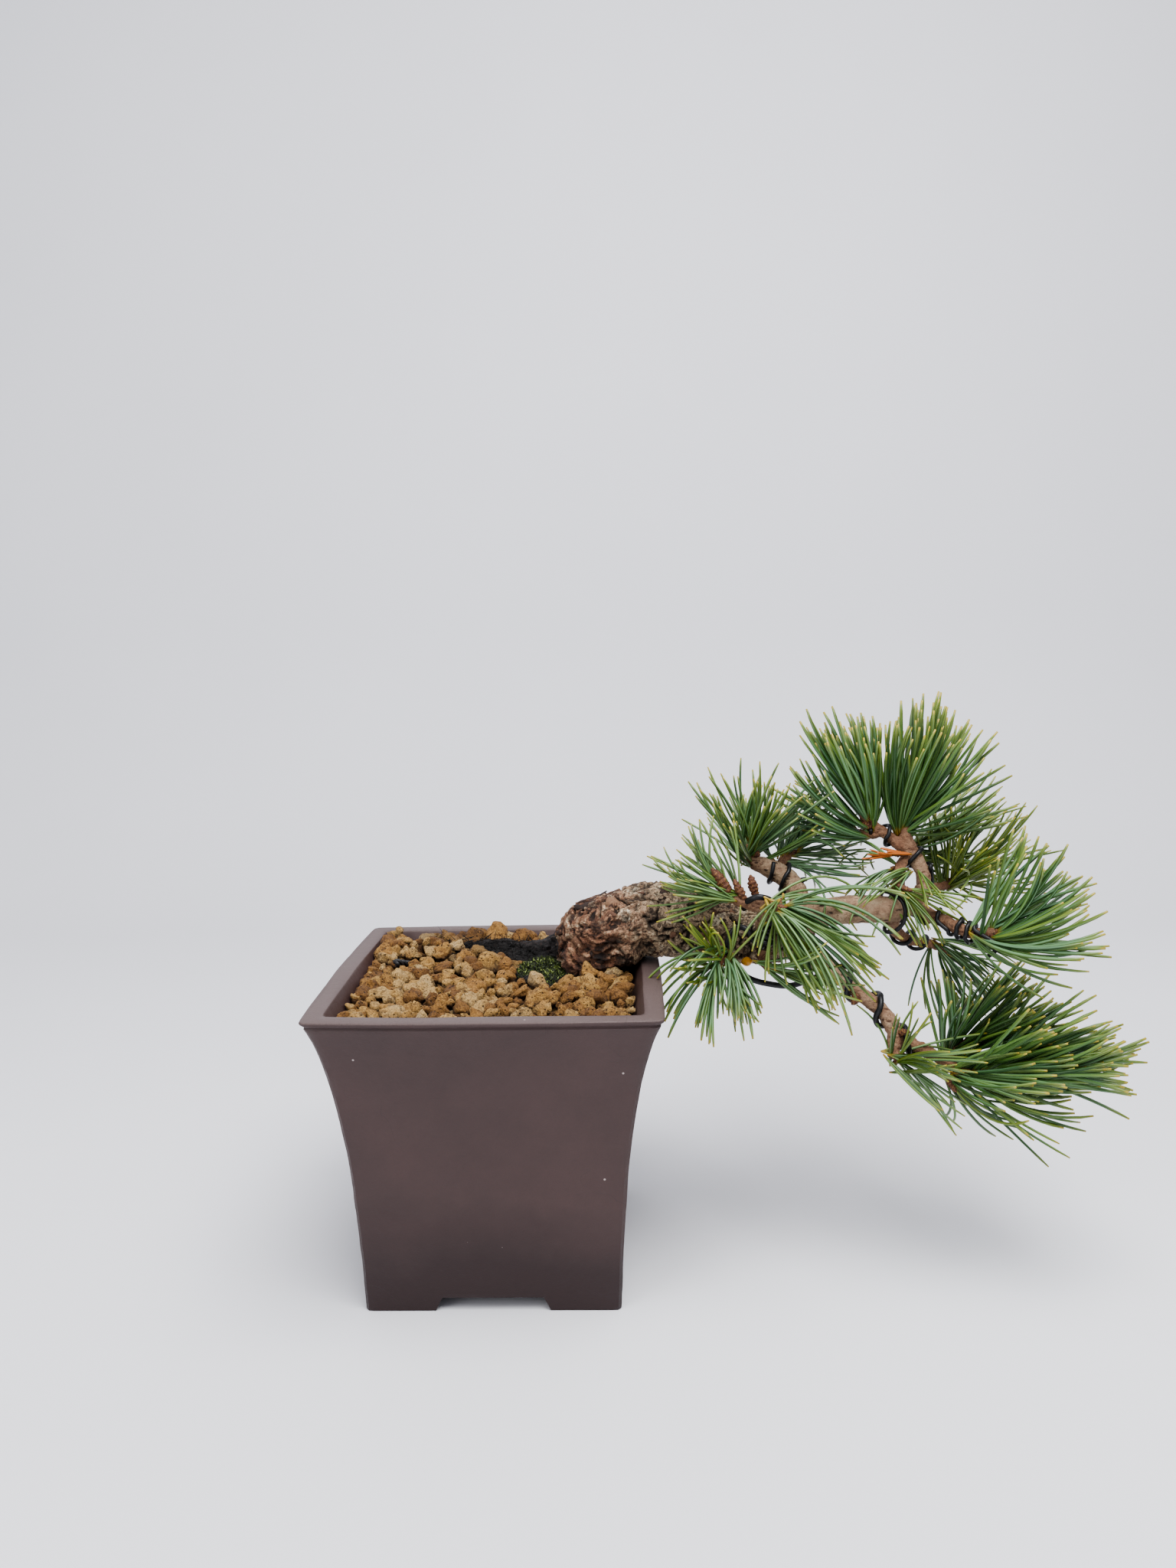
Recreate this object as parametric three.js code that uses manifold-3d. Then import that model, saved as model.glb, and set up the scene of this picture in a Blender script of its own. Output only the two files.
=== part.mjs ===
// A small five-needle pine trained as a semi-cascade bonsai in a tall square pot.
// Millimetres, +Z up. The tree leans out of the pot towards +X and its front faces -Y.
// Every shape is laid out from the middle of the pot's base; the last step moves the whole
// group so that the origin is the middle of the bottom of its bounding box.

import * as THREE from "three";
import { mergeVertices } from "three/addons/utils/BufferGeometryUtils.js";
import Module from "manifold-3d";

const wasm = await Module();
wasm.setup();

// --- Driving dimensions -------------------------------------------------------------------

const GAP = 0.4; // clearance between pieces that touch

const POT_HEIGHT = 108;
const POT_BASE_HALF = 44;
const POT_RIM_HALF = 58.6;
const POT_FLARE_LOW = [45.6, 45]; // half width and height of the flare's two guide points
const POT_FLARE_HIGH = [48.5, 88];
const POT_WALL = 6.3;
const POT_FLOOR = 7; // thickness of the floor above the foot recess
const POT_BOW = 1.3; // how far the middle of a rim side swells past its corners
const RIM_BAND = 2.4; // height of the thin lip band under the rim
const RIM_GROOVE = 0.5; // depth of the line that sets the band off
const FOOT_HEIGHT = 5;
const FOOT_CUT_BOTTOM = 39.7; // width of the opening between two feet at the ground
const FOOT_CUT_TOP = 34.7;
const DRAIN_RADIUS = 6;

const MESH_SIDE = 30; // plastic netting over the drain hole
const MESH_THICK = 1;
const MESH_CELLS = 4;
const MESH_STRAND = 1.4;

const SOIL_TOP = 95; // top of the packed soil, under the stone dressing
const DRESSING_TOP = 101; // the dressing's bed, which the single stones stand out of
const STONE_SPACING = 12.4;
const STONE_SIZE = 5.4; // mean half width of a stone

const ROOT_BALL_CENTRE = [8, 19, 72];
const ROOT_BALL_RADII = [33, 21.5, 33];

const LIMB_STEP = 7; // length of one straight step along a limb

const TIE_WIRE = 1.5; // diameter of the aluminium wire that ties the roots down
const THIN_WIRE = 1.5;
const THICK_WIRE = 2.1;
const WIRE_SIDES = 5;
const TURN_STEPS = 8; // straight steps in one turn of a coil

const BUNDLE_RADIUS = 1.9; // five needles held close together, at their widest
const BUNDLE_SIDES = 4;
const GOLDEN_ANGLE = Math.PI * (3 - Math.sqrt(5));

// --- The woody skeleton: [x, y, z, radius] along each limb ----------------------------------

const LIMBS = {
  trunk: [
    [-24, 40, 96, 3.4],
    [-12, 40, 101, 4.6],
    [6, 37, 104, 6],
    [22, 31, 107, 9],
    [34, 20, 113, 12.5],
    [42, 13, 117.4, 14.4],
    [52, 12, 122.6, 13.2],
    [64, 10, 122.8, 13.6],
    [76, 7, 121, 12.8],
    [86, 5, 119.5, 11.2],
    [98, 2, 119.5, 10.6],
    [108, 0, 122, 8.5],
    [117, -1, 127, 5.5],
    [127, -2, 129, 5.2],
    [137, -2, 129, 5],
    [147, -2, 129, 4.6],
  ],
  root_down: [
    [2, 37, 103, 5.2],
    [-3, 32, 92, 4.2],
    [-6, 26, 80, 2.8],
    [-4, 20, 66, 1.6],
  ],
  root_right: [
    [24, 30, 106, 6.5],
    [26, 27, 94, 4.6],
    [22, 24, 80, 3],
    [26, 20, 64, 1.6],
  ],
  root_left: [
    [-20, 40, 98, 3.4],
    [-20, 34, 90, 3],
    [-14, 28, 78, 2],
  ],
  lower_branch: [
    [102, 0, 117, 6],
    [110, -1, 114.5, 5],
    [119, -3, 109.5, 3.8],
    [127.8, -6, 102.7, 3],
    [133.5, -10, 98.2, 2.8],
    [138, -13, 94.9, 2.8],
    [140.6, -16, 91.2, 2.9],
    [142.3, -17, 87.6, 2.7],
    [149, -19, 83.8, 2.2],
    [157.5, -20, 79.3, 2],
    [164.9, -21, 74.6, 1.9],
    [173, -23, 74, 1.6],
    [180.6, -24, 76, 1.2],
  ],
  lower_upper_shoot: [
    [156, -20, 80, 1.9],
    [160.5, -16, 78.5, 1.7],
    [164.4, -12, 78.2, 1.5],
    [168, -8, 80, 1.1],
  ],
  lower_stub: [
    [142, -17, 88, 2.6],
    [141.3, -19, 84, 2.5],
    [141, -22, 80.4, 2],
  ],
  right_branch: [
    [143, -2, 129, 4],
    [150.9, -2, 129.6, 3],
    [157.5, -6, 127.2, 2.5],
    [163, -12, 125.6, 2.3],
    [168.9, -17, 123.6, 2.1],
    [175, -20, 125.7, 1.5],
  ],
  crown_stem: [
    [151, -1, 128, 3.4],
    [154.8, 0, 133, 3],
    [156.5, 3, 140.1, 2.7],
    [154.7, 5, 145.1, 2.7],
    [152.1, 7, 150.5, 2.6],
    [151.1, 9, 157.3, 2.1],
    [150.9, 9, 163.1, 1.4],
  ],
  crown_left: [
    [152, 7, 149, 2.3],
    [147.8, 8, 151.8, 2.2],
    [141.5, 10, 156.7, 2],
    [136.5, 11, 160.6, 1.7],
    [136.2, 11, 164.4, 1.1],
  ],
  crown_far_left: [
    [143, 10, 155.8, 1.9],
    [137.8, 11, 154.2, 1.7],
    [132, 12, 155.6, 1.1],
  ],
  crown_thin_stem: [
    [145, -2, 129, 2.6],
    [145.6, -1.5, 133.4, 2.2],
    [146.8, 0, 139.1, 2.2],
    [148.3, 3, 143.6, 2.1],
    [151.4, 6, 147.5, 1.9],
  ],
  crown_right: [
    [156.1, 3, 136.5, 2],
    [164.1, 10, 134.4, 1.6],
    [170.5, 14, 134.3, 1.5],
    [178.1, 18, 136.6, 1],
  ],
  back_shoot: [
    [154, 6, 146, 2],
    [156, 13, 148, 1.6],
    [159, 19, 149, 1.1],
  ],
  under_shoot: [
    [144, -2, 126.8, 3],
    [147.5, 4, 118.9, 2.1],
    [156.4, 12, 113, 1.8],
    [166.1, 18, 109.4, 1.6],
    [171.6, 22, 105.2, 1],
  ],
  left_branch: [
    [108, 0, 123, 4.6],
    [112, 5, 130, 4],
    [110, 8, 136, 3.8],
    [105, 10, 140, 3.8],
    [99, 11, 143, 3.5],
    [94.8, 12, 144.6, 2.5],
    [94, 12, 151, 1.3],
  ],
  left_back_shoot: [
    [104, 12, 140, 2.4],
    [108, 16, 144, 1.7],
    [112, 19, 147, 1.1],
  ],
  front_spur: [
    [97, -3, 121, 4],
    [97, -7, 125, 3],
    [97, -10, 129, 2.9],
    [95.5, -13, 133, 2.8],
    [90, -13, 134.4, 2.2],
    [84.7, -13, 136.6, 1.8],
    [81, -12.5, 139, 1.4],
  ],
  front_spur_shoot: [
    [96.5, -12, 131, 2.2],
    [98, -19, 134, 1.6],
    [99.3, -26, 135.9, 1.1],
  ],
  low_spur: [
    [81, -2, 116, 3],
    [80, -12, 115, 2],
    [79.5, -19, 114.8, 1.5],
  ],
  low_right_spur: [
    [97, -5, 114, 2.6],
    [96.5, -13, 112.5, 1.6],
    [96, -21, 113.5, 1.2],
  ],
};

// --- The tufts of needles: where a shoot ends, where it points and how its bundles spread ----

const TUFTS = {
  crown_left: { base: [136.5, 11, 163], aim: [-12, 2, 32], spread: 40, bundles: 13, length: 38 },
  crown_far_left: { base: [133, 12, 155.4], aim: [-28, 6, 8], spread: 30, bundles: 5, length: 33 },
  crown_top: { base: [151.5, 9, 160], aim: [10, -2, 42], spread: 42, bundles: 17, length: 43 },
  crown_back: { base: [157, 17, 149], aim: [30, 8, 12], spread: 46, bundles: 9, length: 38 },
  crown_right: { base: [177, 18, 136.5], aim: [24, 2, 15], spread: 50, bundles: 14, length: 33 },
  crown_inner: { base: [147, 3, 143], aim: [-20, -2, 2], spread: 54, bundles: 5, length: 27 },
  fork_front: { base: [147.5, -6, 137.5], aim: [18, -10, -5], spread: 36, bundles: 3, length: 24 },
  right_branch: { base: [174, -20, 125], aim: [30, -6, 14], spread: 46, bundles: 15, length: 38 },
  under_right: { base: [169, 18, 107.5], aim: [15, 2, -15], spread: 50, bundles: 8, length: 31 },
  left_top: { base: [95, 12, 148.5], aim: [6, -2, 34], spread: 50, bundles: 12, length: 34 },
  left_front: { base: [81, -12.5, 139], aim: [-22, 4, 10], spread: 50, bundles: 11, length: 28 },
  left_back: { base: [111, 18, 146], aim: [24, 12, 9], spread: 50, bundles: 12, length: 33 },
  spur_front: { base: [99.3, -26, 136], aim: [22, -9, -6], spread: 38, bundles: 8, length: 38 },
  spur_low: { base: [79.5, -19, 115], aim: [-6, -12, -8], spread: 62, bundles: 10, length: 28 },
  spur_right: { base: [97, -22, 113.5], aim: [24, -6, -9], spread: 34, bundles: 4, length: 30 },
  low_tip: { base: [180, -24, 76], aim: [38, -6, 6], spread: 44, bundles: 20, length: 44 },
  low_upper: { base: [167, -11, 80], aim: [20, -2, 20], spread: 44, bundles: 12, length: 36 },
  low_hanging: { base: [165, -23, 72], aim: [24, -4, -16], spread: 34, bundles: 4, length: 40 },
  low_stub: { base: [142.2, -23, 80.5], aim: [22, -8, 2], spread: 60, bundles: 5, length: 30 },
};
const SHOOT_STRETCH = 4.5; // the outermost bundles leave the shoot this far before its end

// --- The training wires: coils round a limb, joined by free stretches -----------------------
// A coil names its limb, the shares of the limb's length where it starts and ends, its turns,
// the share of a turn where it starts and its clearance. A free stretch is a list of points.

const WIRES = {
  wire_lower_branch: {
    diameter: THICK_WIRE,
    route: [
      { limb: "front_spur", from: 0.44, to: 0.3, turns: 3.6, start: 0.1, clear: 0.6 },
      { free: [[87, -12, 125], [83.2, -13.5, 119], [84.6, -13.5, 112]] },
      { free: [[91, -12.5, 106], [99.4, -12, 103.6], [107, -9, 101]] },
      { limb: "lower_branch", from: 0.24, to: 0.69, turns: 3.1, start: 0.45, clear: 0.6 },
    ],
  },
  wire_right_branch: {
    diameter: THIN_WIRE,
    route: [
      { free: [[141, 5, 132.5], [141.4, -1, 136.4], [146.2, -8.6, 133], [146.6, -9.8, 127]] },
      { free: [[144, -8.6, 121.8], [141.2, -4, 119], [146, 1, 115.5], [150.5, 3, 121.5]] },
      { limb: "right_branch", from: 0.34, to: 0.8, turns: 3.4, start: 0.1, clear: 0.6 },
    ],
  },
  wire_crown: {
    diameter: THIN_WIRE,
    route: [
      { limb: "under_shoot", from: 0.72, to: 0.3, turns: 2.1, start: 0.1, clear: 0.6 },
      { free: [[154, 9, 125], [161.5, 8, 133]] },
      { limb: "crown_stem", from: 0.5, to: 0.63, turns: 1.1, start: 0.2, clear: 0.7 },
      { limb: "crown_left", from: 0.3, to: 0.66, turns: 1.6, start: 0.6, clear: 0.6 },
    ],
  },
  wire_left_branch: {
    diameter: THIN_WIRE,
    route: [
      { free: [[97, 18, 123], [103, 16, 128]] },
      { limb: "left_branch", from: 0.38, to: 0.66, turns: 1.9, start: 0.4, clear: 0.6 },
    ],
  },
};

// The tie wire comes up out of the drain hole on both sides of the root ball, and its two
// ends are twisted together above the dressing.
const TIE_LEGS = 3.6; // distance of each leg from the drain hole's axis
const TIE_KNOT_FOOT = [-33, 24, 101];
const TIE_KNOT_TIP = [-40, 9, 107];
const TIE_KNOT_TURNS = 3;
const TIE_KNOT_RADIUS = 1.15;

// --- Solids and geometries --------------------------------------------------------------------

/** The solid that a closed geometry bounds, whichever way its faces were wound. */
function solidOf(geometry) {
  geometry.deleteAttribute("normal");
  geometry.deleteAttribute("uv");
  const merged = mergeVertices(geometry, 1e-4);
  const vertProperties = merged.attributes.position.array;
  const triVerts = new Uint32Array(merged.index.array);
  const solid = new wasm.Manifold(new wasm.Mesh({ numProp: 3, vertProperties, triVerts }));
  if (solid.volume() > 0) return solid;
  for (let i = 0; i < triVerts.length; i += 3) {
    [triVerts[i + 1], triVerts[i + 2]] = [triVerts[i + 2], triVerts[i + 1]];
  }
  return new wasm.Manifold(new wasm.Mesh({ numProp: 3, vertProperties, triVerts }));
}

/** One solid of many that overlap. */
function joined(solids) {
  return wasm.Manifold.union(solids);
}

/** The solid with its neighbours' room cut away, and only its largest piece kept. */
function cutClear(solid, cutters) {
  const rest = solid.subtract(joined(cutters));
  const pieces = rest.decompose();
  pieces.sort((a, b) => b.volume() - a.volume());
  return pieces[0];
}

/** A named mesh of a solid, in a material of its own. */
function meshOf(name, solid, color, roughness, metalness = 0) {
  const { numProp, numVert, vertProperties, triVerts } = solid.getMesh();
  const position = new Float32Array(numVert * 3);
  for (let i = 0; i < numVert; i += 1) {
    position.set(vertProperties.subarray(i * numProp, i * numProp + 3), i * 3);
  }
  const geometry = new THREE.BufferGeometry();
  geometry.setAttribute("position", new THREE.BufferAttribute(position, 3));
  geometry.setIndex(new THREE.BufferAttribute(triVerts, 1));
  geometry.computeVertexNormals();
  const material = new THREE.MeshStandardMaterial({ color, roughness, metalness });
  const mesh = new THREE.Mesh(geometry, material);
  mesh.name = name;
  return mesh;
}

/** A smooth curve through a list of [x, y, z, ...] points. */
function curveThrough(points) {
  const places = points.map((p) => new THREE.Vector3(p[0], p[1], p[2]));
  return new THREE.CatmullRomCurve3(places, false, "centripetal");
}

/** A regular polygon of a radius, as the section of a tube. */
function ringShape(radius, sides) {
  const corners = [];
  for (let i = 0; i < sides; i += 1) {
    const turn = (2 * Math.PI * i) / sides;
    corners.push(new THREE.Vector2(radius * Math.cos(turn), radius * Math.sin(turn)));
  }
  return new THREE.Shape(corners);
}

/** A tube of one radius through a list of points. */
function tube(points, radius, steps) {
  return solidOf(
    new THREE.ExtrudeGeometry(ringShape(radius, WIRE_SIDES), {
      steps,
      bevelEnabled: false,
      extrudePath: curveThrough(points),
    }),
  );
}

/** The radius of a limb at a share of its length, straight between its given points. */
function limbRadius(points, curve, share) {
  const place = curve.getUtoTmapping(share) * (points.length - 1);
  const k = Math.min(Math.floor(place), points.length - 2);
  return THREE.MathUtils.lerp(points[k][3], points[k + 1][3], place - k);
}

/** A tapering limb: a thread is swept along the middle line and each ring is then widened. */
function limb(points, grow = 0) {
  const thread = 0.25;
  const thickest = Math.max(...points.map((p) => p[3]));
  const sides = thickest > 9 ? 10 : 6;
  const curve = curveThrough(points);
  const steps = Math.ceil(curve.getLength() / LIMB_STEP);
  const geometry = new THREE.ExtrudeGeometry(ringShape(thread, sides), {
    steps,
    bevelEnabled: false,
    extrudePath: curve,
  });
  const stations = curve.getSpacedPoints(steps);
  const position = geometry.attributes.position;
  const corner = new THREE.Vector3();
  for (let i = 0; i < position.count; i += 1) {
    corner.fromBufferAttribute(position, i);
    let nearest = 0;
    for (let s = 1; s <= steps; s += 1) {
      const closer = corner.distanceToSquared(stations[s]);
      if (closer < corner.distanceToSquared(stations[nearest])) nearest = s;
    }
    const radius = limbRadius(points, curve, nearest / steps) + grow;
    corner.sub(stations[nearest]).multiplyScalar(radius / thread).add(stations[nearest]);
    position.setXYZ(i, corner.x, corner.y, corner.z);
  }
  return solidOf(geometry);
}

/** Repeatable numbers from 0 to 1. */
function dice(seed) {
  let state = seed;
  return () => {
    state = (state * 16807) % 2147483647;
    return state / 2147483647;
  };
}

// --- The pot --------------------------------------------------------------------------------------

const flare = new THREE.CubicBezierCurve(
  new THREE.Vector2(POT_BASE_HALF, 0),
  new THREE.Vector2(...POT_FLARE_LOW),
  new THREE.Vector2(...POT_FLARE_HIGH),
  new THREE.Vector2(POT_RIM_HALF, POT_HEIGHT),
);

/** The outer half width of the pot at a height. */
function potHalf(z) {
  let low = 0;
  let high = 1;
  for (let i = 0; i < 30; i += 1) {
    const middle = (low + high) / 2;
    if (flare.getPoint(middle).y < z) low = middle;
    else high = middle;
  }
  return flare.getPoint(low).x;
}

/** A turned profile of [half width, height] points, pressed square with slightly bowed sides. */
function squareTurned(profile) {
  const points = profile.map(([half, z]) => new THREE.Vector2(half, z));
  const geometry = new THREE.LatheGeometry(points, 16, Math.PI / 4).rotateX(Math.PI / 2);
  const position = geometry.attributes.position;
  for (let i = 0; i < position.count; i += 1) {
    const x = position.getX(i);
    const y = position.getY(i);
    const half = Math.hypot(x, y);
    if (half < 1e-6) continue;
    const across = Math.min(Math.abs(x), Math.abs(y)) / Math.max(Math.abs(x), Math.abs(y));
    const rise = THREE.MathUtils.clamp((half - POT_BASE_HALF) / (POT_RIM_HALF - POT_BASE_HALF), 0, 1);
    const bow = POT_BOW * rise * (1 - across * across);
    const reach = (half + bow) / Math.max(Math.abs(x), Math.abs(y));
    position.setXY(i, x * reach, y * reach);
  }
  return solidOf(geometry);
}

/** A stack of [half width, height] points up the pot's inner wall, drawn in by a gap. */
function innerWall(bottom, top, rows, gap) {
  const points = [];
  for (let i = 0; i <= rows; i += 1) {
    const z = THREE.MathUtils.lerp(bottom, top, i / rows);
    points.push([potHalf(z) - POT_WALL - gap, z]);
  }
  return points;
}

function makePot() {
  const outside = [];
  const rows = 7;
  for (let i = 0; i <= rows; i += 1) {
    const z = (i / rows) * (POT_HEIGHT - RIM_BAND);
    outside.push([potHalf(z), z]);
  }
  outside.push([potHalf(POT_HEIGHT - RIM_BAND) - RIM_GROOVE, POT_HEIGHT - RIM_BAND + 0.3]);
  outside.push([POT_RIM_HALF - 0.6, POT_HEIGHT - RIM_BAND + 0.6]);
  outside.push([POT_RIM_HALF, POT_HEIGHT - 0.7]);
  outside.push([POT_RIM_HALF - 0.7, POT_HEIGHT]);
  const floorTop = FOOT_HEIGHT + POT_FLOOR;
  const inside = innerWall(floorTop, POT_HEIGHT, 5, 0).reverse();
  const body = squareTurned([[0, 0], ...outside, ...inside, [0, floorTop]]);

  const low = FOOT_CUT_BOTTOM / 2;
  const high = FOOT_CUT_TOP / 2;
  const arch = new THREE.Shape([
    new THREE.Vector2(-low - (low - high) / FOOT_HEIGHT, -1),
    new THREE.Vector2(low + (low - high) / FOOT_HEIGHT, -1),
    new THREE.Vector2(high, FOOT_HEIGHT),
    new THREE.Vector2(-high, FOOT_HEIGHT),
  ]);
  const length = 3 * POT_BASE_HALF;
  const through = new THREE.ExtrudeGeometry(arch, { depth: length, bevelEnabled: false });
  through.translate(0, 0, -length / 2).rotateX(Math.PI / 2);
  const archAlongY = solidOf(through.clone());
  const archAlongX = solidOf(through.rotateZ(Math.PI / 2));
  const drain = new THREE.CylinderGeometry(DRAIN_RADIUS, DRAIN_RADIUS, 4 * POT_FLOOR, 24);
  drain.rotateX(Math.PI / 2);
  return body.subtract(archAlongY).subtract(archAlongX).subtract(solidOf(drain));
}

// --- Inside the pot ---------------------------------------------------------------------------------

/** Plastic netting over the drain hole: a square plate with square openings. */
function makeDrainMesh(grow = 0) {
  const side = MESH_SIDE + 2 * grow;
  const level = FOOT_HEIGHT + POT_FLOOR + GAP + MESH_THICK / 2;
  const plate = new THREE.BoxGeometry(side, side, MESH_THICK + 2 * grow);
  const netting = solidOf(plate.translate(0, 0, level));
  if (grow > 0) return netting;
  const pitch = (MESH_SIDE - MESH_STRAND) / MESH_CELLS;
  const openings = [];
  for (let i = 0; i < MESH_CELLS * MESH_CELLS; i += 1) {
    const x = ((i % MESH_CELLS) - (MESH_CELLS - 1) / 2) * pitch;
    const y = (Math.floor(i / MESH_CELLS) - (MESH_CELLS - 1) / 2) * pitch;
    const opening = new THREE.BoxGeometry(pitch - MESH_STRAND, pitch - MESH_STRAND, 4 * MESH_THICK);
    openings.push(solidOf(opening.translate(x, y, level)));
  }
  return netting.subtract(joined(openings));
}

/** The two strands of the tie wire's twisted end: out to the tip and back. */
function tieTwist() {
  const foot = new THREE.Vector3(...TIE_KNOT_FOOT);
  const tip = new THREE.Vector3(...TIE_KNOT_TIP);
  const along = tip.clone().sub(foot).normalize();
  const side = new THREE.Vector3(0, 0, 1).cross(along).normalize();
  const up = along.clone().cross(side);
  const strand = TIE_KNOT_TURNS * 6;
  const route = [];
  for (let i = 0; i <= 2 * strand; i += 1) {
    const out = i <= strand ? i / strand : (2 * strand - i) / strand;
    const turn = 2 * Math.PI * TIE_KNOT_TURNS * out + (i <= strand ? 0 : Math.PI);
    const place = foot.clone().lerp(tip, out);
    place.addScaledVector(side, TIE_KNOT_RADIUS * Math.cos(turn));
    place.addScaledVector(up, TIE_KNOT_RADIUS * Math.sin(turn));
    route.push([place.x, place.y, place.z]);
  }
  return route;
}

/** The wire that holds the roots down: up out of the drain hole on each side, then twisted. */
function makeTie(grow = 0) {
  const bottom = FOOT_HEIGHT + 1.5;
  const radius = TIE_WIRE / 2 + grow;
  const twist = tieTwist();
  const first = twist[0];
  const last = twist[twist.length - 1];
  const leftLeg = [
    [-TIE_LEGS, 0, bottom],
    [-TIE_LEGS, 0, 14],
    [-TIE_LEGS, 0, 24],
    [-34, 2, 42],
    [-36, 6, 78],
    first,
  ];
  const rightLeg = [
    [TIE_LEGS, 0, bottom],
    [TIE_LEGS, 0, 14],
    [TIE_LEGS, 0, 24],
    [14, 26, 36],
    [-10, 39, 58],
    [-28, 40, 84],
    last,
  ];
  return joined([
    tube(leftLeg, radius, 20),
    tube(rightLeg, radius, 24),
    tube(twist, radius, 2 * TIE_KNOT_TURNS * 6),
  ]);
}

function makeRootBall(grow = 0) {
  const [rx, ry, rz] = ROOT_BALL_RADII;
  const ball = new THREE.SphereGeometry(1, 14, 9);
  ball.rotateX(Math.PI / 2).scale(rx + grow, ry + grow, rz + grow);
  ball.translate(...ROOT_BALL_CENTRE);
  return solidOf(ball);
}

/** Packed soil from the pot's floor to under the dressing. */
function makeSoil() {
  const bottom = FOOT_HEIGHT + POT_FLOOR + GAP;
  const sides = innerWall(bottom, SOIL_TOP, 5, GAP);
  return squareTurned([[0, bottom], ...sides, [0, SOIL_TOP]]);
}

/** Whether the dressing is open here, round the roots and the moss. */
function isBare(x, y) {
  const acrossRoots = (y - 30 + 0.1 * x) / 13;
  const alongRoots = (x - 14) / 34;
  return Math.hypot(acrossRoots, alongRoots) < 1;
}

/** The stone dressing: a bed that fills the pot's mouth, with angular stones on it. */
function makeDressing() {
  const bottom = SOIL_TOP + GAP;
  const bed = squareTurned([
    [0, bottom],
    ...innerWall(bottom, DRESSING_TOP, 2, GAP),
    [0, DRESSING_TOP],
  ]);
  const roll = dice(11);
  const solids = [bed];
  const reach = potHalf(DRESSING_TOP) - POT_WALL - STONE_SIZE - 2;
  const rows = Math.floor((2 * reach) / STONE_SPACING);
  for (let i = 0; i <= rows; i += 1) {
    for (let j = 0; j <= rows; j += 1) {
      const x = -reach + (2 * reach * i) / rows + 2 * (roll() - 0.5);
      const y = -reach + (2 * reach * j) / rows + 2 * (roll() - 0.5);
      const z = DRESSING_TOP + 0.6 + 1.2 * roll();
      const size = STONE_SIZE * (0.8 + 0.4 * roll());
      const stone = new THREE.IcosahedronGeometry(size, 0);
      stone.rotateX(3 * roll()).rotateY(3 * roll()).rotateZ(3 * roll());
      stone.scale(1.1, 1, 0.85).translate(x, y, z);
      if (!isBare(x, y)) solids.push(solidOf(stone));
    }
  }
  return joined(solids);
}

/** A low cushion of moss between the roots and the stones. */
function makeMoss() {
  const cushion = new THREE.SphereGeometry(1, 14, 8).rotateX(Math.PI / 2);
  cushion.scale(13, 8, 4.5).translate(16, 13, 101.5);
  return solidOf(cushion);
}

// --- The tree, its wires and its needles --------------------------------------------------------------

function makeTree(grow = 0) {
  return joined(Object.values(LIMBS).map((points) => limb(points, grow)));
}

/** Points of a coil round a limb: its frame turns while its middle moves along the limb. */
function coilPoints({ limb: name, from, to, turns, start, clear }, diameter) {
  const points = LIMBS[name];
  const curve = curveThrough(points);
  const frames = curve.computeFrenetFrames(60);
  const count = Math.round(turns * TURN_STEPS);
  const places = [];
  for (let i = 0; i <= count; i += 1) {
    const share = THREE.MathUtils.lerp(from, to, i / count);
    const frame = Math.round(share * 60);
    const turn = 2 * Math.PI * (start + (turns * i) / count);
    const distance = limbRadius(points, curve, share) + diameter / 2 + clear;
    const reach = distance / Math.cos(Math.PI / TURN_STEPS);
    const place = curve.getPointAt(share);
    place.addScaledVector(frames.normals[frame], reach * Math.cos(turn));
    place.addScaledVector(frames.binormals[frame], reach * Math.sin(turn));
    places.push([place.x, place.y, place.z]);
  }
  return places;
}

function makeWire({ diameter, route }, grow = 0) {
  const points = route.flatMap((piece) => piece.free ?? coilPoints(piece, diameter));
  const steps = Math.round(curveThrough(points).getLength() / (2.2 * diameter));
  return tube(points, diameter / 2 + grow, steps);
}

/** One bundle of five needles: a spindle from where it leaves the shoot to its tips. */
function bundle(start, direction, length, grow) {
  const radius = BUNDLE_RADIUS + grow;
  const profile = [
    new THREE.Vector2(0, -grow),
    new THREE.Vector2(radius, 0.6 * length),
    new THREE.Vector2(0, length + grow),
  ];
  const spindle = new THREE.LatheGeometry(profile, BUNDLE_SIDES);
  const upright = new THREE.Vector3(0, 1, 0);
  spindle.applyQuaternion(new THREE.Quaternion().setFromUnitVectors(upright, direction));
  return solidOf(spindle.translate(start.x, start.y, start.z));
}

/** A tuft: bundles spread over a cap of directions, even in area, along the shoot's last part. */
function makeTuft({ base, aim, spread, bundles, length }, grow = 0) {
  const axis = new THREE.Vector3(...aim).normalize();
  const tilt = new THREE.Quaternion().setFromUnitVectors(new THREE.Vector3(0, 0, 1), axis);
  const foot = new THREE.Vector3(...base).addScaledVector(axis, 2);
  const solids = [];
  for (let i = 0; i < bundles; i += 1) {
    const outward = Math.sqrt((i + 0.5) / bundles);
    const polar = THREE.MathUtils.degToRad(spread) * outward;
    const round = GOLDEN_ANGLE * i;
    const direction = new THREE.Vector3(
      Math.sin(polar) * Math.cos(round),
      Math.sin(polar) * Math.sin(round),
      Math.cos(polar),
    ).applyQuaternion(tilt);
    const start = foot.clone().addScaledVector(axis, -SHOOT_STRETCH * outward);
    solids.push(bundle(start, direction, length, grow));
  }
  const bud = new THREE.IcosahedronGeometry(2.6 + grow, 0);
  bud.scale(1, 1, 1.9).applyQuaternion(tilt);
  bud.translate(foot.x, foot.y, foot.z);
  solids.push(solidOf(bud));
  return joined(solids);
}

// --- The whole object ---------------------------------------------------------------------------------

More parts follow.
